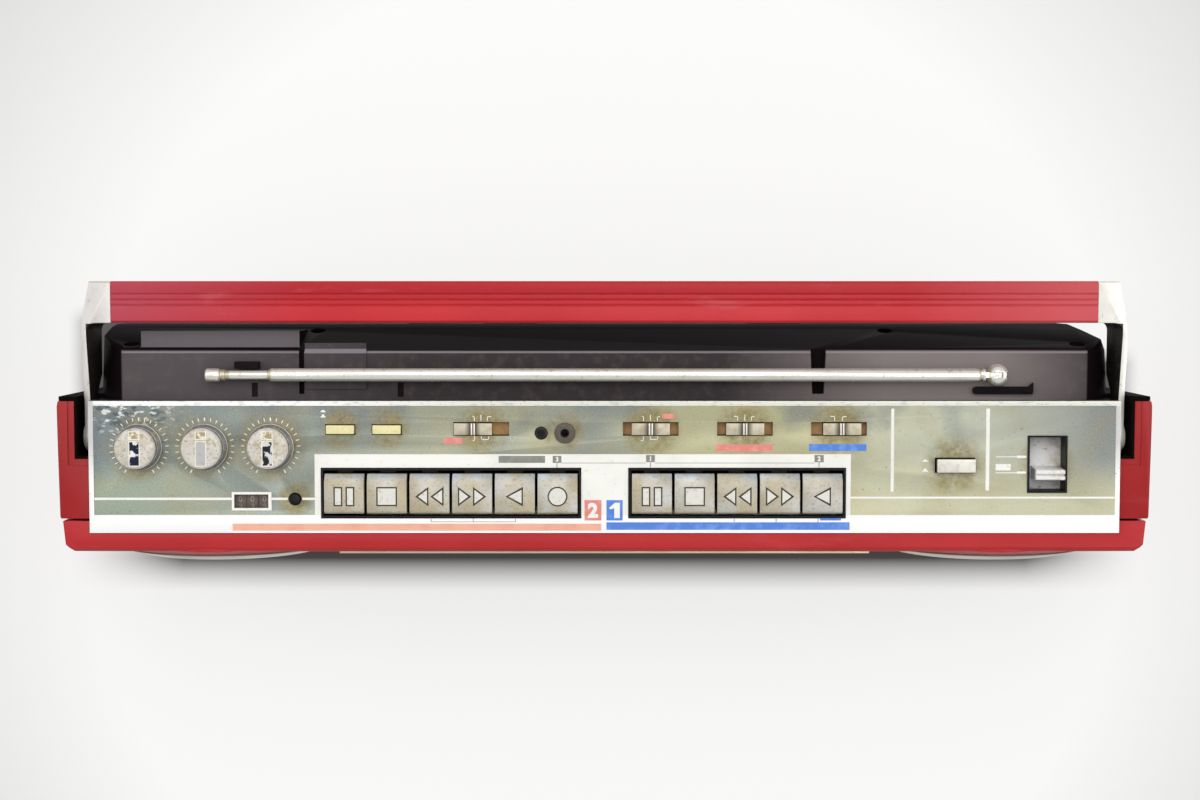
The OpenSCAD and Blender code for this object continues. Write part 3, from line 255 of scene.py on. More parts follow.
def rounded(node, finish, width_mm, segments=2, angle=40, keep=None):
    """A copy of a CAD node whose edges have the small radius of the real moulding.

    Planes square to the axis with the number keep have openings, and keep their triangles.
    """
    bm = bmesh.new()
    bm.from_mesh(cad[node].data)
    bmesh.ops.remove_doubles(bm, verts=bm.verts, dist=1e-6)
    bm.normal_update()
    inside = [edge for edge in bm.edges
              if keep is None or all(abs(face.normal[keep]) < 0.99 for face in edge.link_faces)]
    bmesh.ops.dissolve_limit(bm, angle_limit=math.radians(1.0), verts=bm.verts, edges=inside,
                             delimit={"NORMAL"})
    for face in bm.faces:
        face.smooth = True
    piece = finish_piece(bm, node + "_finished", [finish], body_of(node))
    edge = piece.modifiers.new("edge", "BEVEL")
    edge.width = width_mm * MM
    edge.segments = segments
    edge.limit_method = "ANGLE"
    edge.angle_limit = math.radians(angle)
    edge.use_clamp_overlap = True
    edge.harden_normals = True
    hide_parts(node)
    return piece


def red_abs(name, colour, deep, worn):
    """Red ABS with a soft gloss: even colour, a fine grain, and faint scuffs that lighten it."""
    made = Finish(name, colour, 0.38, specular=0.25)
    made.coat(made.patches(70, 0.35, 0.7), deep)
    made.coat((made.patches(9, 0.6, 0.8, 8.0, (0.25, 1, 1)), 0.3), worn, 0.5)
    made.grain(0.8, 0.05, 0.12)
    return made


red_front = red_abs("moulded_red_abs", "#B62C2F", "#AA2629", "#C4565A")
rounded("front_cabinet", red_front, 0.4, keep=1)


# Loudspeakers: silver painted trim rings clipped into the collars, black moulded grilles behind
# them, and drivers with a pressed steel basket and a pulp cone.

def corners_of(node):
    """The low and the high corner of a CAD node's box, in mm."""
    return [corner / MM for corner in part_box(node)]


def silver_paint(name, colour, shade, roughness=0.32):
    """Silver paint on ABS: fine metal flake, dull patches and brown dirt in the low spots."""
    made = Finish(name, colour, roughness, 0.5)
    made.coat(made.patches(30, 0.4, 0.7), shade, roughness + 0.12)
    made.coat((made.patches(3, 0.62, 0.75, 6.0), 0.5), "#8D7F62", 0.6)
    made.grain(0.5, 0.03, 0.1)
    return made


# Silver paint gone dull, with painted shade on its outer flank and a painted highlight line along it
ring_silver = silver_paint("worn_silver_paint", "#BDB9AE", "#A39F93")
ring_low, ring_high = corners_of("speaker_rings")
ring_r = (ring_high.z - ring_low.z) / 2
mirrored = add(ring_silver.tree, "ShaderNodeVectorMath", {"operation": "ABSOLUTE"}, {0: ring_silver.place})
flat = add(ring_silver.tree, "ShaderNodeVectorMath", {"operation": "MULTIPLY", 1: (1.0, 0.0, 1.0)},
           {0: mirrored.outputs[0]})
# The ring's outer flank gets painted shade, and a thin line on it a painted highlight
painted_shade_flank = ring_silver.near((ring_high.x - ring_r, 0.0, ring_low.z + ring_r), ring_r - 0.35, ring_r - 0.15,
                         flat.outputs[0])
ring_silver.coat(painted_shade_flank, "#6F695E", 0.4)
painted_highlight_line = ring_silver.mask(ring_silver.between("Y", -68.2, -68.5), ring_silver.between("Y", -69.4, -69.1))
ring_silver.coat((painted_shade_flank, painted_highlight_line), "#E4E1D8", 0.3)
rounded("speaker_rings", ring_silver, 0.3)

# Black ABS, moulded with a fine spark texture that makes it matt, with grey dust on it
black = Finish("black_abs", "#151414", 0.5)
black.coat(black.patches(12, 0.45, 0.75), "#2A2624")
black.grain(0.7, 0.05, 0.2)
paint("speaker_grilles", black)

# Pressed paper pulp, felted, so its surface is coarse and dull
pulp = Finish("pulp_cone", "#1D1C1B", 0.85)
pulp.coat(pulp.patches(3, 0.4, 0.7), "#34302D")
pulp.grain(1.2, 0.1, 0.4)
paint("speaker_drivers", pulp)


# Centre frame of the front: champagne painted ABS with the dial window, its printed scale, the
# pointer behind the clear lens, and the tuning knob pushed on its shaft.

back = corners_of("control_panel")[1].y


def block(bm, low, high, index=0):
    """A flat part between two corners in mm. Y counts from the control panel's rear edge."""
    size = [(b - a) * MM for a, b in zip(low, high)]
    middle = [(a + b) / 2 * MM for a, b in zip(low, high)]
    middle[1] += back * MM
    made = bmesh.ops.create_cube(
        bm, size=1.0, matrix=Matrix.Translation(middle) @ Matrix.Diagonal((*size, 1.0)))
    for face in {face for vert in made["verts"] for face in vert.link_faces}:
        face.material_index = index


def figures(bm, text, height_mm, place, bold_mm=0.0, index=0):
    """Plain numbers of that height, 0.1 mm thick, flat in X and Y, put in place by a matrix."""
    curve = bpy.data.curves.new("figures", "FONT")
    curve.body = text
    curve.align_x = "CENTER"
    curve.offset = bold_mm / height_mm * 0.7
    curve.extrude = 0.02
    curve.resolution_u = 3
    lettered = bpy.data.objects.new("figures", curve)
    made = bpy.data.meshes.new_from_object(lettered)
    low = min(vert.co.y for vert in made.vertices)
    high = max(vert.co.y for vert in made.vertices)
    scale = height_mm * MM / (high - low)
    made.transform(place @ Matrix.Diagonal((scale, scale, 0.05 * MM / 0.02, 1.0))
                   @ Matrix.Translation((0, -(low + high) / 2, 0)))
    first = len(bm.faces)
    bm.from_mesh(made)
    bm.faces.ensure_lookup_table()
    for face in bm.faces[first:]:
        face.material_index = index
    bpy.data.objects.remove(lettered)
    bpy.data.curves.remove(curve)
    bpy.data.meshes.remove(made)


# Metal flake paint with a warm tint: a soft shine, duller in patches
champagne = silver_paint("champagne_painted_abs", "#CFC6A9", "#B9AF90")
rounded("deck_frame", champagne, 0.3)

lens_low, lens_high = corners_of("dial_lens")
dial_mid = (lens_low.z + lens_high.z) / 2
facing = Matrix.Rotation(math.radians(90), 4, "X")

# Black painted steel plate, satin, with opaque white and orange screen printing
scale_black = Finish("printed_dial", "#14171B", 0.4)
scale_black.coat(scale_black.patches(20, 0.4, 0.8), "#22262B")
scale_black.grain(0.6, 0.02, 0.1)
scale_white = Finish("dial_print_white", "#E6E4D8", 0.5)
scale_white.coat(scale_white.patches(5, 0.5, 0.8), "#CFCBB8")
scale_orange = Finish("dial_print_orange", "#E08A3C", 0.5)
scale_orange.coat(scale_orange.patches(5, 0.5, 0.8), "#C97A35")
bm = bmesh.new()
plate_y = lens_high.y - back + 3.2
ink_y = plate_y - 0.05
block(bm, (lens_low.x + 0.4, plate_y, dial_mid - 8.2), (lens_high.x - 0.4, plate_y + 0.5, dial_mid + 3.6))
scale_x = lens_low.x + 18
step = (lens_high.x - lens_low.x - 36) / 35
for row, (numbers, height) in enumerate(((("76", "78", "80", "82", "84", "86", "88", "90"), 0.2),
                                         (("53", "60", "70", "80", "100", "120", "140", "160"), -5.6))):
    line_z = dial_mid - 1.6 - 1.2 * row
    block(bm, (lens_low.x + 14, ink_y, line_z - 0.2), (lens_high.x - 14, plate_y, line_z + 0.2), 1 + row)
    for i in range(36):
        tall = 1.5 if i % 5 == 0 else 0.8
        x = scale_x + i * step
        mark_low, mark_high = line_z - tall * row, line_z + tall * (1 - row)
        block(bm, (x - 0.2, ink_y, mark_low), (x + 0.2, plate_y, mark_high), 1 + row)
    for i, number in enumerate(numbers):
        spot = Vector((scale_x + i * 5 * step, back + ink_y, dial_mid + height + 0.9))
        figures(bm, number, 3.0, Matrix.Translation(spot * MM) @ facing, 0.1, 1 + row)
finish_piece(bm, "dial_scale", [scale_black, scale_white, scale_orange], body_of("deck_frame"))

# Clear polystyrene, injection moulded: the scale shows through it, greyed a little by wiping
clear = Finish("clear_styrene", "#A9AEB0", 0.04)
clear.shader.inputs["Alpha"].default_value = 0.05
clear.coat(clear.patches(14, 0.6, 0.8, 8.0, (0.3, 1, 1)), "#C4C9C9", 0.1)
paint("dial_lens", clear)

# Red acetate sheet with a soft gloss, a little darker in patches
pointer_red = Finish("red_acetate", "#D8342B", 0.4)
pointer_red.coat(pointer_red.patches(4, 0.4, 0.7), "#B9241D")
paint("dial_pointer", pointer_red)
# Metal flake paint on ABS, bright and hardly worn
silver = silver_paint("silver_painted_abs", "#D2D0C9", "#B4B1A7")
rounded("tuning_knob", silver, 0.25)


# Tape mechanism of both decks: a zinc plated steel plate with its motor, nylon reel spindles,
# steel heads on their slide, and a capstan with a turned flywheel.

# Zinc plated steel: pale grey, with the soft flowers of the plating
zinc = Finish("zinc_plated_steel", "#A9ABAA", 0.35, 0.9)
zinc.coat(zinc.patches(8, 0.4, 0.7), "#8E9191", 0.45)
zinc.grain(1.5, 0.02, 0.1)
for node in ("deck_chassis", "tape_heads", "deck_1_capstan", "deck_2_capstan"):
    paint(node, zinc)

# White nylon, moulded: satin, cloudy and a little yellowed
nylon = Finish("white_nylon", "#E4E0D2", 0.45)
nylon.coat(nylon.patches(6, 0.4, 0.7), "#D2CBB4")
nylon.grain(1.0, 0.02, 0.1)
for deck in ("deck_1", "deck_2"):
    for side in ("left", "right"):
        rounded("%s_reel_%s" % (deck, side), nylon, 0.2)


# Cassette doors: dark grey ABS with a smoked acrylic pane glued into a shallow recess and a
# silver strip in the finger groove. Each turns on two pins at its lower edge.

# Polished ABS that picks up fine dust, and smoked acrylic, almost black and glossy
door_grey = Finish("dark_grey_abs", "#3A3A3C", 0.3)
door_grey.coat(door_grey.patches(40, 0.4, 0.7), "#454446", 0.38)
door_grey.coat((door_grey.patches(2, 0.66, 0.8, 8.0), 0.4), "#77716A", 0.6)
door_grey.grain(0.8, 0.04, 0.12)
smoked = Finish("smoked_acrylic", "#0D0C0C", 0.08)
smoked.coat(smoked.patches(10, 0.55, 0.8, 8.0, (0.3, 1, 1)), "#1B1918", 0.2)
for deck in ("deck_1", "deck_2"):
    rounded(deck + "_door", door_grey, 0.35)
    low, high = corners_of(deck + "_door")
    x = (low.x + high.x) / 2
    face = low.y - back
    bm = bmesh.new()
    block(bm, (x - 41.6, face + 0.1, low.z + 15.9), (x + 41.6, face + 0.68, low.z + 51.1))
    block(bm, (x - 21.7, face + 0.35, high.z - 6.8), (x + 21.7, face + 0.68, high.z - 4.2), 1)
    for middle in (x - 21.25, x + 21.25):
        block(bm, (middle - 8, face + 0.04, low.z + 33.3), (middle + 8, face + 0.12, low.z + 33.7), 1)
    bmesh.ops.bevel(bm, geom=[edge for edge in bm.edges if edge.calc_length() > 20 * MM], offset=0.2 * MM,
                    segments=2, affect="EDGES", profile=0.5, material=-1)
    finish_piece(bm, deck + "_window", [smoked, silver], body_of(deck + "_door"))


# Circuit boards: green phenolic board with the transformer, capacitors and switch housings
# soldered on, all sprayed with flux lacquer.

# Flux lacquer over green phenolic paper: dark green, paler over the copper tracks, a soft gloss
lacquered = Finish("lacquered_board", "#2C5A34", 0.45)
lacquered.coat(lacquered.patches(5, 0.5, 0.56, 2.0, (1, 4, 1)), "#4F7A4C", 0.35)
lacquered.grain(1.0, 0.05, 0.2)
paint("circuit_boards", lacquered)


# Rear cabinet and battery cover: dark brown-grey ABS with a matt moulded texture, dusty on the
# flat top, held by six zinc plated screws and standing on rubber feet.

case_top = corners_of("control_panel")[1].z
# The flat top of the rear cabinet lies this much lower than the panel's rim
rear_top = case_top - 9.0

# The flat top is lighter towards the left end, with a painted highlight towards the right end and grey dust
# in patches; the walls below it are painted near black brown as shade
shell = Finish("dark_brown_grey_abs", "#3A3536", 0.5, specular=0.01)
shell.coat((shell.between("X", -90, -200), 0.75), "#5A5456")
# Painted highlight on the flat top towards the right end
shell.coat((shell.between("X", 60, 140), shell.between("X", 250, 195)), "#7B7372", 0.5)
bump = shell.mask(shell.between("X", -233.6, -233.3), shell.between("X", -152.8, -153.1),
                  shell.between("Z", rear_top - 6.7, rear_top - 6.3),
                  shell.between("Z", rear_top - 5.3, rear_top - 5.7))
# The raised box on the flat top is painted lighter, as lit
shell.coat(bump, "#6A6468", 0.5)
shell.coat((shell.patches(5, 0.5, 0.75, 8.0), 0.18), "#766C66", 0.65)
# Painted shade: the walls below the flat top are near black brown
painted_shade_walls = add(shell.tree, "ShaderNodeMath", {"operation": "SUBTRACT", "use_clamp": True},
            {0: shell.between("Z", rear_top - 0.5, rear_top - 1.6), 1: bump})
shell.coat(painted_shade_walls.outputs[0], "#140E0F", 0.5)
# A thin painted highlight along the rear edge of the flat top
edge = shell.mask(shell.between("Y", back + 23.3, back + 23.5),
                  shell.between("Y", back + 25.8, back + 25.4))
shell.coat((edge, shell.between("Z", rear_top - 0.9, rear_top - 0.6), 0.55), "#97929A", 0.4)
shell.coat(shell.between("Z", rear_top + 1.4, rear_top + 1.8), "#1B1718", 0.4)
# The notches at both ends are painted black as shade
shell.coat(shell.between("X", 256.3, 256.8, True), "#0E0B0A", 0.6)
shell.grain(0.8, 0.06, 0.2)
rounded("rear_cabinet", shell, 0.5)
rounded("battery_cover", shell, 0.3)
paint("mains_inlet", black)
paint("case_screws", zinc)

# Black natural rubber, moulded, greyed by the table's dust
rubber = Finish("black_rubber", "#1C1B1B", 0.8)
rubber.coat(rubber.patches(4, 0.45, 0.7), "#3A3836", 0.9)
rubber.grain(1.0, 0.1, 0.3)
rounded("rubber_feet", rubber, 0.4)


# Control panel: a pressed aluminium plate laid into the bezel of the front cabinet. Its satin field
# has turned yellow and blue in places, inside a white rim, with screen printing on both; its shift from blue
# to yellow across the width is partly painted reflection.

field = case_top - 0.3

# Satin anodised aluminium: fine and slightly metallic, with brown grease round the controls
metal = Finish("satin_aluminium", "#9C9F8E", 0.36, 0.35)
# The colour across the field, darker and bluer at the left end and yellower at the right, is partly
# yellowing and partly painted reflection
tint = add(metal.tree, "ShaderNodeMath", {"operation": "ADD", "use_clamp": True},
           {0: metal.between("X", -270, 270), 1: metal.mask(metal.patches(60, 0.2, 0.8), 0.06)})
patina_and_reflection_ramp = add(metal.tree, "ShaderNodeValToRGB", links={"Fac": tint.outputs[0]})
stops = patina_and_reflection_ramp.color_ramp.elements
stops[0].color = linear("#667074")
stops[1].color = linear("#8B908D")
for share, colour in (
    (0.08, "#6F7A7B"), (0.15, "#8A9490"), (0.26, "#8D9489"), (0.37, "#9B9D88"), (0.46, "#9D9F88"),
    (0.525, "#8F948A"), (0.58, "#A8A88A"), (0.63, "#B2AF89"), (0.72, "#B3AF8A"), (0.78, "#C2C2A6"),
    (0.86, "#C3C6B1"), (0.92, "#B0B3A4"),
):
    stops.new(share).color = linear(colour)
metal.tree.links.new(patina_and_reflection_ramp.outputs["Color"], metal.shader.inputs["Base Color"])
front = metal.between("Y", back - 28, back - 44)
metal.coat((front, metal.between("X", -170, -225)), "#8C9786")
metal.coat((front, metal.between("X", 128, 160)), "#ACAB90")
metal.coat((metal.patches(22, 0.48, 0.7, 6.0), 0.4), "#A2976B", 0.45)
blue = metal.mask(metal.patches(34, 0.48, 0.66, 6.0, (1, 1, 1), 0.02),
                  metal.between("Y", back - 42, back - 10))
metal.coat((blue, 0.6), "#68757F", 0.3)
worn = metal.mask(metal.between("X", -208, -226), metal.between("Y", back - 18, back - 9))
metal.coat((worn, metal.patches(5, 0.52, 0.6, 8.0, (1, 2, 1))), "#4C5A62", 0.3)
metal.coat((worn, metal.patches(4, 0.56, 0.6, 8.0, (1, 2, 1), 0.05)), "#D9DDDB", 0.3)
grease = None
for x, y, reach in ((-231.3, -23, 19), (-198.6, -23, 18), (-165.9, -23, 20), (-61, -14, 15), (23, -14, 16),
                    (70, -14, 16), (116, -14, 16), (174, -32, 17), (220, -32, 15), (-154, -49, 10),
                    (-131, -14, 12), (-108, -14, 12), (-20, -16, 11)):
    touched = metal.near((x, back + y, field), reach, reach * 0.5)
    if grease:
        either = add(metal.tree, "ShaderNodeMath", {"operation": "MAXIMUM"}, {0: touched, 1: grease})
        touched = either.outputs[0]
    grease = touched
metal.coat((grease, metal.patches(11, 0.26, 0.56, 8.0), 0.8), "#91824D", 0.55)
metal.coat((grease, metal.patches(2.4, 0.44, 0.66, 9.0), 0.38), "#5A4C2C", 0.6)
# The walls of the slots below the field are painted black as shade
metal.coat(metal.between("Z", field - 0.25, field - 0.4), "#110E0B", 0.6, 0.0)
metal.coat((metal.patches(1.6, 0.64, 0.72, 4.0), 0.5), "#6F6446", 0.6)
metal.coat((metal.patches(0.9, 0.5, 0.7, 3.0), 0.16), "#D8D8C4")

# Around the field lies the white printed rim, worn to bare metal at the rear and at both ends
rim = metal.between("Z", field + 0.12, field + 0.18)
metal.coat(rim, "#F4F4F1", 0.35, 0.0)
metal.coat((rim, metal.between("X", 253.8, 254.2, True), metal.between("Y", back - 40, back - 20)),
           "#C4C3C1", 0.3)
rear_rim = metal.mask(rim, metal.between("Y", back - 2.8, back - 2.2))
metal.coat((rear_rim, metal.between("X", -160, -60)), "#DDDCD0", 0.3)
metal.coat((rear_rim, metal.patches(4, 0.55, 0.66, 8.0, (1, 3, 1)), 0.45), "#9EA4A4", 0.3)
metal.coat((rim, metal.patches(1.5, 0.66, 0.7, 3.0), metal.between("Y", back - 56, back - 46)),
           "#BDAF8A", 0.5)
metal.grain(0.5, 0.02, 0.14, 2.0, (0.2, 1, 1))
rounded("control_panel", metal, 0.2)

# Screen printing ink: opaque and nearly matt, uneven where it was rubbed, with brown dirt in it
white_ink = Finish("white_ink", "#EDECE5", 0.4)
white_ink.coat(white_ink.patches(25, 0.45, 0.7), "#E4E3DA")
white_ink.coat((white_ink.patches(2.2, 0.62, 0.74, 6.0), 0.4), "#C9B88C", 0.6)
pink_ink = Finish("pink_ink", "#E8AE94", 0.45)
pink_ink.coat(pink_ink.patches(8, 0.45, 0.7, 6.0), "#E0A088")
red_ink = Finish("red_ink", "#DC8076", 0.45)
red_ink.coat(red_ink.patches(4, 0.45, 0.7, 6.0), "#E39A8E")
blue_ink = Finish("blue_ink", "#4C7CD0", 0.45)
blue_ink.coat(blue_ink.patches(4, 0.45, 0.7, 6.0), "#6C97DC")
grey_ink = Finish("grey_ink", "#7E8078", 0.45)
grey_ink.coat(grey_ink.patches(3, 0.45, 0.7, 6.0), "#8F9088")
WHITE, PINK, RED, BLUE, GREY = range(5)


def areas(bm, low_z, high_z, ink, places):
    """Flat areas of one ink, each from X and Y of one corner to X and Y of the other."""
    for x0, y0, x1, y1 in places:
        block(bm, (x0, y0, low_z), (x1, y1, high_z), ink)


# The white ground under the keys, as high as the rim, then lines and frames on the field
bm = bmesh.new()
areas(bm, field, case_top, WHITE, (
    (-144.1, -56.9, -141.1, -26.5), (-11.5, -56.9, 11.8, -26.5), (120.2, -56.9, 122.5, -26.5),
    (-141.1, -33.2, -11.5, -26.5), (11.8, -33.2, 120.2, -26.5),
))
film = field + 0.05
areas(bm, field, film, WHITE, (
    (-253.9, -49.4, -185.4, -48.2), (-165.8, -49.4, -157.6, -48.2), (-150.4, -49.4, -144.1, -48.2),
    (-185.5, -54.6, -184.3, -45.4), (-167.3, -54.6, -165.7, -45.4),
    (-184.3, -54.6, -167.3, -53.4), (-184.3, -46.6, -167.3, -45.4),
    (142.4, -45.3, 143.9, -3.8), (189.6, -44.6, 191.4, -3.8), (122.5, -48.7, 253.9, -47.7),
    (205.2, -28.4, 209.7, -27.2), (205.2, -36.2, 209.7, -35.1), (194.6, -28.0, 205.2, -27.6),
    (194.6, -36.0, 205.2, -35.6), (194.5, -34.6, 202.0, -31.4),
))

# Marks of the slide switches, a line for each place, most of them hooked, and the signs of the
# push buttons
areas(bm, field, film, WHITE, (
    (-65.5, -7.9, -64.4, -7.4), (-64.8, -9.9, -64.4, -7.4), (-61.5, -9.8, -61.1, -6.9),
    (-58.3, -9.9, -57.9, -7.6), (-58.3, -8.0, -56.3, -7.6), (-65.5, -19.9, -64.3, -19.5),
    (-64.7, -19.9, -64.3, -17.4), (-61.3, -19.4, -60.9, -17.4), (-57.7, -19.4, -57.3, -17.4),
    (-61.3, -19.4, -57.3, -19.0),
    (18.6, -7.9, 19.6, -7.4), (19.2, -9.9, 19.6, -7.4), (22.6, -9.8, 23.0, -6.9),
    (26.1, -9.9, 26.5, -7.6), (26.1, -8.0, 27.6, -7.6), (18.2, -19.9, 19.6, -19.5),
    (19.2, -19.9, 19.6, -17.4), (22.6, -19.4, 23.0, -17.4), (26.2, -19.4, 26.6, -17.4),
    (22.6, -19.4, 26.6, -19.0),
    (64.3, -7.9, 66.3, -7.4), (65.9, -9.9, 66.3, -7.4), (69.5, -9.8, 69.9, -6.9),
    (72.8, -9.9, 73.2, -7.6), (72.8, -8.0, 74.5, -7.6),
    (112.3, -7.9, 114.5, -7.4), (114.1, -9.9, 114.5, -7.4), (118.0, -9.9, 118.4, -7.6),
    (118.0, -8.0, 120.2, -7.6),
    (-140.9, -5.6, -138.5, -5.0), (-140.4, -5.0, -139.0, -4.5),
    (-140.9, -8.2, -138.5, -7.6), (-140.3, -7.6, -139.1, -6.7),
    (158.1, -30.3, 160.9, -29.7), (158.7, -29.7, 160.3, -29.2),
    (158.1, -35.2, 160.9, -34.6), (158.8, -34.6, 160.2, -33.7),
))

# Ring of marks round each knob, with a bolder one at its middle and its ends
for node in ("volume_knob", "balance_knob", "tone_knob"):
    low, high = corners_of(node)
    spot = Vector(((low.x + high.x) / 2, (low.y + high.y) / 2, field + 0.02))
    for i in range(25):
        bold = 0.32 if i in (0, 12, 24) else 0.2
        bmesh.ops.create_cube(
            bm, size=MM, matrix=Matrix.Translation(spot * MM)
            @ Matrix.Rotation(math.radians(150 - 12.5 * i), 4, "Z")
            @ Matrix.Translation((0, 13.9 * MM, 0)) @ Matrix.Diagonal((2 * bold, 1.7, 0.06, 1.0)))

# Coloured patches on the field, then the bars, patches and lines on the white rim and ground
areas(bm, field, film, RED, (
    (55.4, -25.1, 83.6, -21.7), (-79.7, -21.3, -70.6, -18.3), (28.5, -8.8, 34.8, -6.3),
))
areas(bm, field, film, BLUE, ((101.7, -24.9, 130.2, -21.5),))
film = case_top + 0.05
areas(bm, case_top, film, PINK, ((-185.2, -64.7, -1.6, -61.2),))
areas(bm, case_top, film, RED, ((-9.9, -59.6, -1.5, -49.4),))
areas(bm, case_top, film, BLUE, (
    (1.0, -64.3, 122.1, -60.5), (1.0, -59.6, 9.1, -49.4), (107.4, -59.6, 117.8, -57.3),
    (64.4, -60.4, 64.8, -58.7), (85.3, -60.4, 85.7, -58.7), (106.2, -60.4, 106.6, -58.7),
))
areas(bm, case_top, film, GREY, (
    (-52.6, -30.8, -29.5, -27.3), (-25.7, -30.8, -21.4, -27.3), (20.7, -30.5, 25.1, -26.9),
    (104.4, -30.5, 109.0, -26.9), (-23.8, -33.2, -23.4, -31.0), (22.7, -33.0, 23.1, -30.6),
    (106.5, -33.0, 106.9, -30.6), (-21.4, -31.0, 20.7, -30.75), (25.1, -31.0, 104.4, -30.75),
    (-86.4, -60.2, -86.1, -58.7), (-65.5, -60.2, -65.2, -58.7), (-44.5, -60.2, -44.2, -58.7),
    (-86.4, -60.4, -44.2, -60.15),
))
for number, x, y, height, bold in (
    ("2", -5.7, -54.5, 7.6, 0.6), ("3", -23.5, -29.0, 2.4, 0.15), ("1", 22.9, -28.7, 2.4, 0.15),
    ("2", 106.7, -28.7, 2.4, 0.15),
):
    figures(bm, number, height, Matrix.Translation(Vector((x, back + y, film + 0.03)) * MM), bold)
# The large figure 1 is a thick stem with a short flag
figure_one = [(2.2, -53.4), (3.0, -54.0), (4.9, -53.4), (4.9, -58.4), (7.7, -58.4), (7.7, -50.7),
              (5.2, -50.7)]
bm.faces.new([bm.verts.new(Vector((x, back + y, film + 0.06)) * MM) for x, y in figure_one])
finish_piece(bm, "panel_print", [white_ink, pink_ink, red_ink, blue_ink, grey_ink],
             body_of("control_panel"))


# Transport keys: satin silver ABS caps in black ABS surrounds, each with an outlined symbol
# hot stamped on its face, and brown grease where fingers press.

# Black ABS of little gloss in the shade of the panel's edge, with dull brown dirt in patches
deep_black = Finish("deep_black_abs", "#080707", 0.5, specular=0.25)
deep_black.coat((deep_black.patches(4, 0.55, 0.75, 6.0), 0.35), "#2A2622", 0.6)
deep_black.grain(0.6, 0.03, 0.15)
rounded("key_frames", deep_black, 0.25)

# Silver paint on ABS, satin: grey, with a paler bluish painted reflection at its rear edge, brown grease and
# dark flanks
key_silver = Finish("satin_silver_abs", "#BBBAB3", 0.36, 0.25)
# Painted reflection: the rear edge of each key paler and bluer
key_silver.coat(key_silver.between("Y", back - 39.6, back - 38.8), "#AEB4B9", 0.28)
key_silver.coat((key_silver.patches(12, 0.34, 0.6, 8.0), 0.62), "#A59467", 0.5)
key_silver.coat((key_silver.patches(1.3, 0.56, 0.68, 7.0), 0.45), "#7B6842", 0.6)
key_silver.coat(key_silver.between("Z", case_top - 0.4, case_top - 0.9), "#0B0A09", 0.6, 0.0)
key_silver.grain(0.5, 0.03, 0.15)
# Hot stamped foil, brown below and pale above it, so that the pale one shows a dark outline
stamp_brown = Finish("brown_foil", "#2E271B", 0.5)
stamp_brown.coat(stamp_brown.patches(2, 0.5, 0.7), "#4A402C")
stamp_pale = Finish("pale_foil", "#DAD8CF", 0.4, 0.1)
stamp_pale.coat(stamp_pale.patches(2, 0.55, 0.7, 5.0), "#C3BDA8")


def outlined(bm, sides, x, y, z, width, depth, turn=0.0):
    """A symbol's shape in the dark foil, and a smaller one in the pale foil over it."""
    wide, long = {3: (1.5, math.sqrt(3)), 4: (math.sqrt(2),) * 2}.get(sides, (2, 2))
    for index, (trim, rise) in enumerate(((0.0, 0.03), (1.45, 0.06))):
        w = (width - (1.5 * trim if sides == 3 else trim)) / wide
        d = (depth - (2.1 * trim if sides == 3 else trim)) / long
        shift = 0.5 * (width - trim - w) if sides == 3 else 0.0
        made = bmesh.ops.create_cone(
            bm, cap_ends=True, segments=sides, radius1=MM, radius2=MM, depth=2 * rise * MM,
            matrix=Matrix.Translation(Vector((x, back + y, z)) * MM) @ Matrix.Rotation(turn, 4, "Z")
            @ Matrix.Translation((shift * MM, 0, 0)) @ Matrix.Diagonal((w, d, 1.0, 1.0))
            @ Matrix.Rotation(math.radians(90 if sides == 3 else 45), 4, "Z"))
        for face in {face for vert in made["verts"] for face in vert.link_faces}:
            face.material_index = index


for node in sorted(node for node in cad if node.startswith(("key_1_", "key_2_"))):
    rounded(node, key_silver, 0.3)
    low, high = corners_of(node)
    x = (low.x + high.x) / 2
    y = low.y - back + 8.6
    top = high.z
    kind = node.split("_")[2]
    bm = bmesh.new()
    if kind == "pause":
        for s in (-1, 1):
            outlined(bm, 4, x + s * 3.0, y, top, 4.4, 9.7)
    elif kind == "stop":
        outlined(bm, 4, x, y, top, 10.3, 9.6)
    elif kind == "record":
        outlined(bm, 40, x, y, top, 9.9, 9.9)
    elif kind == "play":
        outlined(bm, 3, x - 0.3, y, top, 8.7, 9.8)
    else:
        turn = 0.0 if kind == "rewind" else math.pi
        for s in (-1, 1):
            outlined(bm, 3, x + s * 3.75, y, top, 6.6, 9.8, turn)
    finish_piece(bm, node + "_symbol", [stamp_brown, stamp_pale], body_of(node))


# Round knobs: chrome plated ABS pushed on the shafts of the potentiometers, with a flat cap and a
# foil strip on it that shows which way the knob stands.

# Chrome on ABS: mirror bright on the flanks, with dark bands painted on them as reflection, dulled and
# specked with brown on top
chrome_abs = Finish("chrome_plated_abs", "#FBFAF7", 0.1, 0.6)
cap = chrome_abs.between("Z", case_top + 9.3, case_top + 9.8)
chrome_abs.coat(cap, "#D3CFC6", 0.34, 0.3)
chrome_abs.coat((cap, chrome_abs.patches(5, 0.4, 0.62, 8.0), 0.55), "#B9AF98", 0.5)
chrome_abs.coat((cap, chrome_abs.patches(1.2, 0.53, 0.68, 8.0), 0.6), "#7D6C4C", 0.6)
# Dark bands round the flanks are painted reflection of dark surroundings in the chrome
for low_z, high_z in ((2.0, 3.2), (5.6, 8.0)):
    chrome_abs.coat((chrome_abs.between("Z", case_top + low_z - 0.2, case_top + low_z),
                     chrome_abs.between("Z", case_top + high_z + 0.2, case_top + high_z), 0.85),
                    "#2C2924", 0.3, 0.3)
chrome_abs.coat((chrome_abs.patches(3.5, 0.56, 0.66, 6.0), 0.6), "#A08C5E", 0.5)
chrome_abs.grain(0.4, 0.02, 0.08)
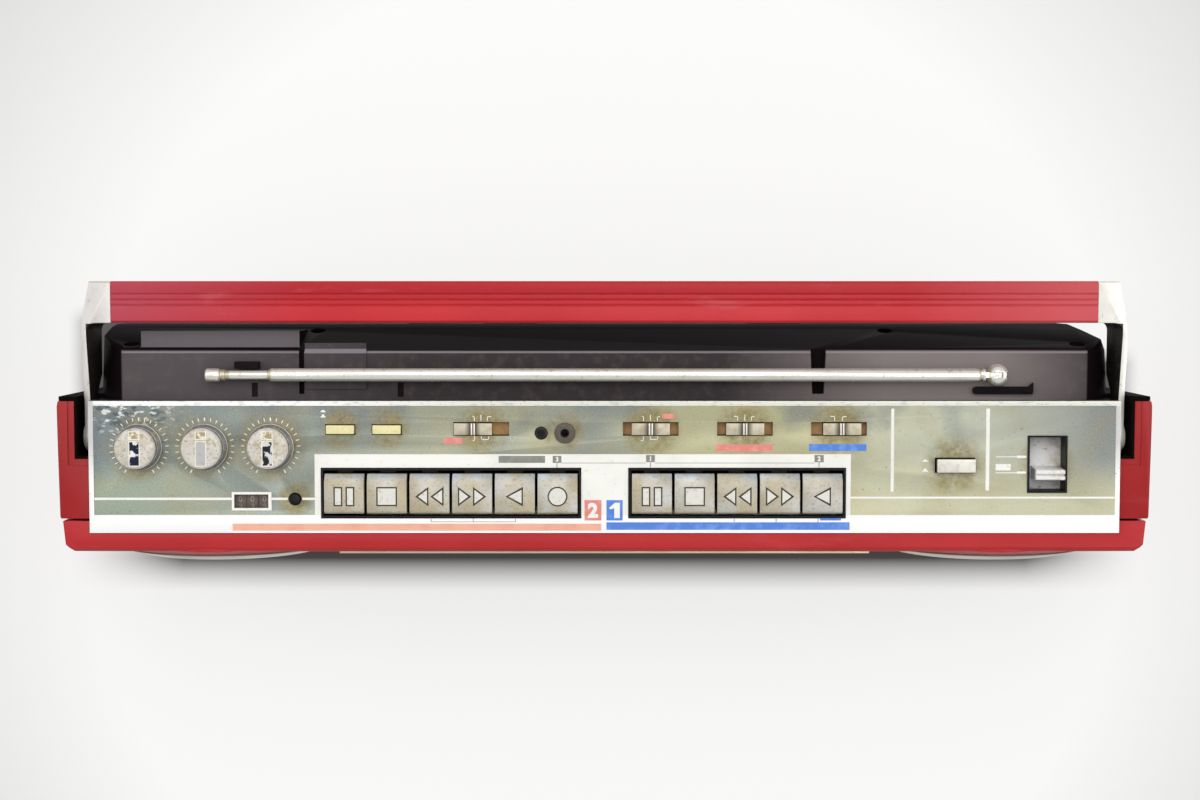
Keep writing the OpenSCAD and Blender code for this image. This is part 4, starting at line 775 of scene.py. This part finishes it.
# Foils on the caps: a dark blue mirror and a black one, both partly flaked off, a whole grey one
# and a faded beige one, in a worn white frame
dark_foil = Finish("dark_mirror_foil", "#1F2A40", 0.15, 0.5)
dark_foil.coat(dark_foil.patches(3.5, 0.52, 0.56, 6.0), "#E2E0D8", 0.5, 0.1)
grey_foil = Finish("grey_foil", "#B9B7B4", 0.35, 0.3)
grey_foil.coat(grey_foil.patches(3, 0.5, 0.7, 6.0), "#A7A49F")
torn_foil = Finish("torn_black_foil", "#17181C", 0.25, 0.3)
torn_foil.coat(torn_foil.patches(3.0, 0.48, 0.52, 6.0, (1, 1, 1), 0.37), "#CFCECB", 0.5, 0.1)
beige_foil = Finish("beige_foil", "#A8946B", 0.45, 0.2)
beige_foil.coat(beige_foil.patches(2.6, 0.5, 0.56, 4.0), "#E0D9C9", 0.4)
white_edge = Finish("white_frame_ink", "#E9E6DC", 0.45)
white_edge.coat(white_edge.patches(2, 0.5, 0.75, 4.0), "#C9BC97")
for node, foil in (("volume_knob", dark_foil), ("balance_knob", grey_foil), ("tone_knob", torn_foil)):
    rounded(node, chrome_abs, 0.25, 3)
    low, high = corners_of(node)
    x = (low.x + high.x) / 2
    y = (low.y + high.y) / 2 - back
    bm = bmesh.new()
    for y0, y1, index in ((-8.7, 3.8, 0), (4.5, 8.7, 1)):
        block(bm, (x - 2.75, y + y0, high.z - 0.5), (x + 2.75, y + y1, high.z + 0.02), 2)
        block(bm, (x - 2.3, y + y0 + 0.45, high.z - 0.5), (x + 2.3, y + y1 - 0.45, high.z + 0.05), index)
    finish_piece(bm, node + "_foil", [foil, beige_foil, white_edge], body_of(node))


# Slide switches: silver painted buttons with a hollow and a double ridge, over a brown fibre
# strip that keeps dust out of the slot.

# Silver paint on ABS, worn to brown, with a painted highlight on the ridges and painted shade in the hollow
# and below the slot
switch_silver = Finish("worn_silver_abs", "#C2BAA5", 0.4, 0.2)
switch_silver.coat((switch_silver.patches(4, 0.45, 0.65, 6.0), 0.6), "#A69574", 0.5)
# Painted highlight on the ridges, painted shade in the hollow, and black painted shade below the slot
switch_silver.coat(switch_silver.between("Z", case_top + 1.83, case_top + 1.88), "#ECEAE5", 0.3)
switch_silver.coat(switch_silver.between("Z", case_top + 1.75, case_top + 0.9), "#6B604A", 0.5)
switch_silver.coat(switch_silver.between("Z", case_top + 0.4, case_top - 0.4), "#171411", 0.6, 0.0)
switch_silver.grain(0.5, 0.03, 0.15)
# Vulcanised fibre: dense, dull, tan to brown
fibre = Finish("tan_fibre", "#B48B57", 0.75)
fibre.coat(fibre.patches(4, 0.4, 0.7, 6.0), "#9A744A")
fibre.grain(0.8, 0.05, 0.3)
for node in ("function_switch", "edit_switch", "tape_switch_2", "tape_switch_1"):
    rounded(node, switch_silver, 0.12)
    low, high = corners_of(node)
    x = (low.x + high.x) / 2
    bm = bmesh.new()
    for x0, x1 in ((x - 18.0, x - 9.3), (x + 9.3, x + 18.0)):
        block(bm, (x0, low.y - back - 0.2, case_top - 4.1), (x1, high.y - back + 0.2, case_top - 3.7))
    bmesh.ops.bevel(bm, geom=list(bm.edges), offset=0.08 * MM, segments=1, affect="EDGES", profile=0.5,
                    material=-1)
    finish_piece(bm, node + "_dust_strip", [fibre], body_of(node))


# Push buttons: two of cream ABS, and the taller mode button of silver painted ABS, each over a
# push switch on the circuit board.

# Cream ABS, satin and even, with a few brown specks
cream = Finish("cream_abs", "#E6DCA4", 0.4)
cream.coat(cream.patches(6, 0.4, 0.7), "#DACF97")
cream.coat((cream.patches(1.6, 0.62, 0.72, 4.0), 0.5), "#A8965E", 0.6)
cream.grain(0.6, 0.03, 0.15)
for node in ("wide_button", "mute_button"):
    rounded(node, cream, 0.3)
# Pale silver paint, dulled in patches, with a dark foot in the shade of its opening
pale_silver = Finish("pale_silver_abs", "#DFDCD2", 0.4, 0.2)
pale_silver.coat((pale_silver.patches(3, 0.5, 0.7, 8.0), 0.5), "#BDB59F", 0.5)
pale_silver.grain(0.5, 0.03, 0.15)
pale_silver.coat(pale_silver.between("Z", case_top + 4.1, case_top + 3.7), "#0D0C0B", 0.5, 0.0)
rounded("fm_mode_button", pale_silver, 0.3)


# Band lever: a plate and a ridge of white ABS that slide in a black shaft, whose edge stands a
# little over the panel.

# White ABS, satin, specked, and browner towards its right end
white_abs = Finish("white_abs", "#E3E2DE", 0.4)
white_abs.coat(white_abs.patches(1.6, 0.62, 0.7, 5.0), "#A79F8B", 0.6)
white_abs.coat((white_abs.between("X", 221, 229), white_abs.patches(5, 0.4, 0.62, 7.0)),
               "#AFA287", 0.6)
white_abs.grain(0.6, 0.03, 0.12)
rounded("band_lever", white_abs, 0.25)
bm = bmesh.new()
areas(bm, field, case_top + 0.3, 0, (
    (210.3, -45.8, 211.35, -17.2), (229.1, -45.8, 230.1, -17.2),
    (211.35, -45.8, 229.1, -44.75), (211.35, -18.1, 229.1, -17.2),
))
areas(bm, case_top - 10.6, field + 0.2, 0, (
    (211.02, -44.98, 211.25, -17.82), (229.22, -44.98, 229.48, -17.82),
    (211.25, -44.98, 229.22, -44.75), (211.25, -18.05, 229.22, -17.82),
))
bmesh.ops.bevel(bm, geom=list(bm.edges), offset=0.06 * MM, segments=1, affect="EDGES", profile=0.5,
                material=-1)
finish_piece(bm, "band_window_edge", [deep_black], body_of("control_panel"))


# Tape counter: three wheels of grey ABS with figures from 0 to 9 on each, under a browned pane,
# and the reset button of black ABS beside them.

# Grey ABS, matt, with figures printed in a dull white
wheel_grey = Finish("grey_wheel_abs", "#78706A", 0.55)
wheel_grey.coat(wheel_grey.patches(5, 0.4, 0.7), "#6A635C")
wheel_grey.grain(0.7, 0.03, 0.2)
wheel_white = Finish("white_figures", "#C9C6BE", 0.5)
wheel_white.coat(wheel_white.patches(2, 0.5, 0.75), "#A9A59B")
# Clear polystyrene gone brown with age and smoke, so that the figures look dim through it
browned = Finish("browned_styrene", "#6F6355", 0.15)
browned.shader.inputs["Alpha"].default_value = 0.25
browned.coat(browned.patches(5, 0.5, 0.75, 7.0), "#8A7D68", 0.3)
rounded("counter_wheels", wheel_grey, 0.15)
low, high = corners_of("counter_wheels")
wheel_r = 6.0
axle = Vector(((low.x + high.x) / 2, (low.y + high.y) / 2, high.z - wheel_r))
bm = bmesh.new()
for place in (-6, 0, 6):
    for digit in range(10):
        turn = math.radians(-36 * digit - 8)
        figures(bm, str(digit), 3.1,
                Matrix.Translation(Vector((axle.x + place, axle.y, axle.z)) * MM)
                @ Matrix.Rotation(turn, 4, "X") @ Matrix.Translation((0, 0, (wheel_r + 0.04) * MM)), 0.08)
finish_piece(bm, "counter_figures", [wheel_white], body_of("counter_wheels"))
bm = bmesh.new()
y = axle.y - back
block(bm, (axle.x - 8.9, y - 3.7, case_top - 1.6), (axle.x + 8.9, y + 3.7, case_top - 1.0))
finish_piece(bm, "counter_pane", [browned], body_of("control_panel"))
rounded("counter_reset", deep_black, 0.25)


# Microphone and microphone jack: black ABS inserts pressed into the panel from below, over the
# capsule and the socket on the board.

# Black ABS greyed by dust, the jack more than the microphone, with painted shade quite black in both holes
dusty_black = Finish("dusty_black_abs", "#1C1A18", 0.5, specular=0.3)
dusty_black.coat(dusty_black.between("X", -26.4, -26.0), "#5A5247")
dusty_black.coat((dusty_black.patches(3, 0.45, 0.7, 6.0), 0.5), "#4A463D", 0.6)
# Painted shade: black in the middle of each, where the holes are
for x in (-31.4, -19.7):
    dusty_black.coat(dusty_black.near((x, back - 16, case_top), 2.5, 2.1), "#050404", 0.7)
dusty_black.grain(0.6, 0.03, 0.2)
rounded("microphone_jack", dusty_black, 0.2)


# Side covers: thin red shells snapped over the ends of the cabinet, of the same ABS, deeper in
# colour where the light from behind doesn't reach them.

# The same ABS, painted a darker red as shade
red_side = red_abs("moulded_red_abs_side", "#A02122", "#941A1C", "#B0474C")
for side in ("left", "right"):
    rounded("side_cover_" + side, red_side, 0.5)


# Handle: a hollow grip moulded in red ABS with three fine grooves, between two die-cast arms,
# painted silver outside and black inside.

# Red ABS with a soft gloss, with painted reflection making it paler and pinker towards both ends, and long
# scuffs
grip_red = Finish("red_grip_abs", "#C12E33", 0.36, specular=0.22)
grip_red.coat(grip_red.patches(60, 0.4, 0.7), "#B5262C")
grip_red.coat(grip_red.between("Y", back + 45, back + 53), "#AD242B")
# Painted reflection: both ends of the grip paler and pinker
grip_red.coat((grip_red.between("X", -150, -235), 0.75), "#B04655", 0.42)
grip_red.coat((grip_red.between("X", 150, 235), 0.65), "#C65A5F", 0.42)
grip_red.coat((grip_red.patches(7, 0.62, 0.8, 8.0, (0.2, 1, 1)), 0.3), "#D2757A", 0.5)
grip_red.grain(0.8, 0.04, 0.1)
rounded("handle_grip", grip_red, 0.4)

# Silver paint on die-cast zinc: a soft even shine, painted lighter on the right arm as light, with a painted
# shade line at the outer edge, black inside
cast = Finish("silver_painted_casting", "#D3CFCB", 0.34, 0.3)
# Painted light: the right arm lighter than the left
cast.coat(cast.between("X", 200, 220), "#F3F1E8")
cast.coat((cast.patches(20, 0.45, 0.75), 0.5), "#B9B4AC", 0.45)
# Painted shade: a dark line along the outer edge of both arms
cast.coat(cast.between("X", 261.2, 261.6, True), "#4A453D", 0.4)
cast.coat((cast.between("X", 257.6, 257.5, True), cast.between("Y", back + 38.4, back + 38.2)),
          "#191614", 0.5, 0.0)
cast.coat((cast.patches(3, 0.6, 0.75, 6.0), 0.5), "#85765A", 0.6)
cast.grain(0.6, 0.03, 0.12)
rounded("handle_arms", cast, 0.35)


# Telescopic antenna: nickel plated brass tubes that slide in each other and fold down on a
# slotted ball, with brown grease at the joints.

# Nickel plate, warm and bright but no clean mirror any more, with brown specks
nickel = Finish("nickel_plated_brass", "#F7F5EB", 0.22, 0.65)
nickel.coat(nickel.patches(14, 0.5, 0.7, 4.0, (0.3, 1, 1)), "#E6E2CF", 0.28)
nickel.coat((nickel.patches(2.5, 0.6, 0.7, 6.0), 0.5), "#A3915F", 0.5)
for low_x, high_x in ((-190.4, -186.4), (-167.6, -165.4), (186.0, 187.2), (190.6, 192.0)):
    nickel.coat((nickel.between("X", low_x - 0.3, low_x + 0.3),
                 nickel.between("X", high_x + 0.3, high_x - 0.3), 0.6), "#A08C4E", 0.5)
nickel.grain(0.4, 0.01, 0.05, 2.0, (0.2, 1, 1))
for node in ("antenna_base", "antenna_tube_1", "antenna_tube_2", "antenna_tube_3", "antenna_tip"):
    rounded(node, nickel, 0.15)
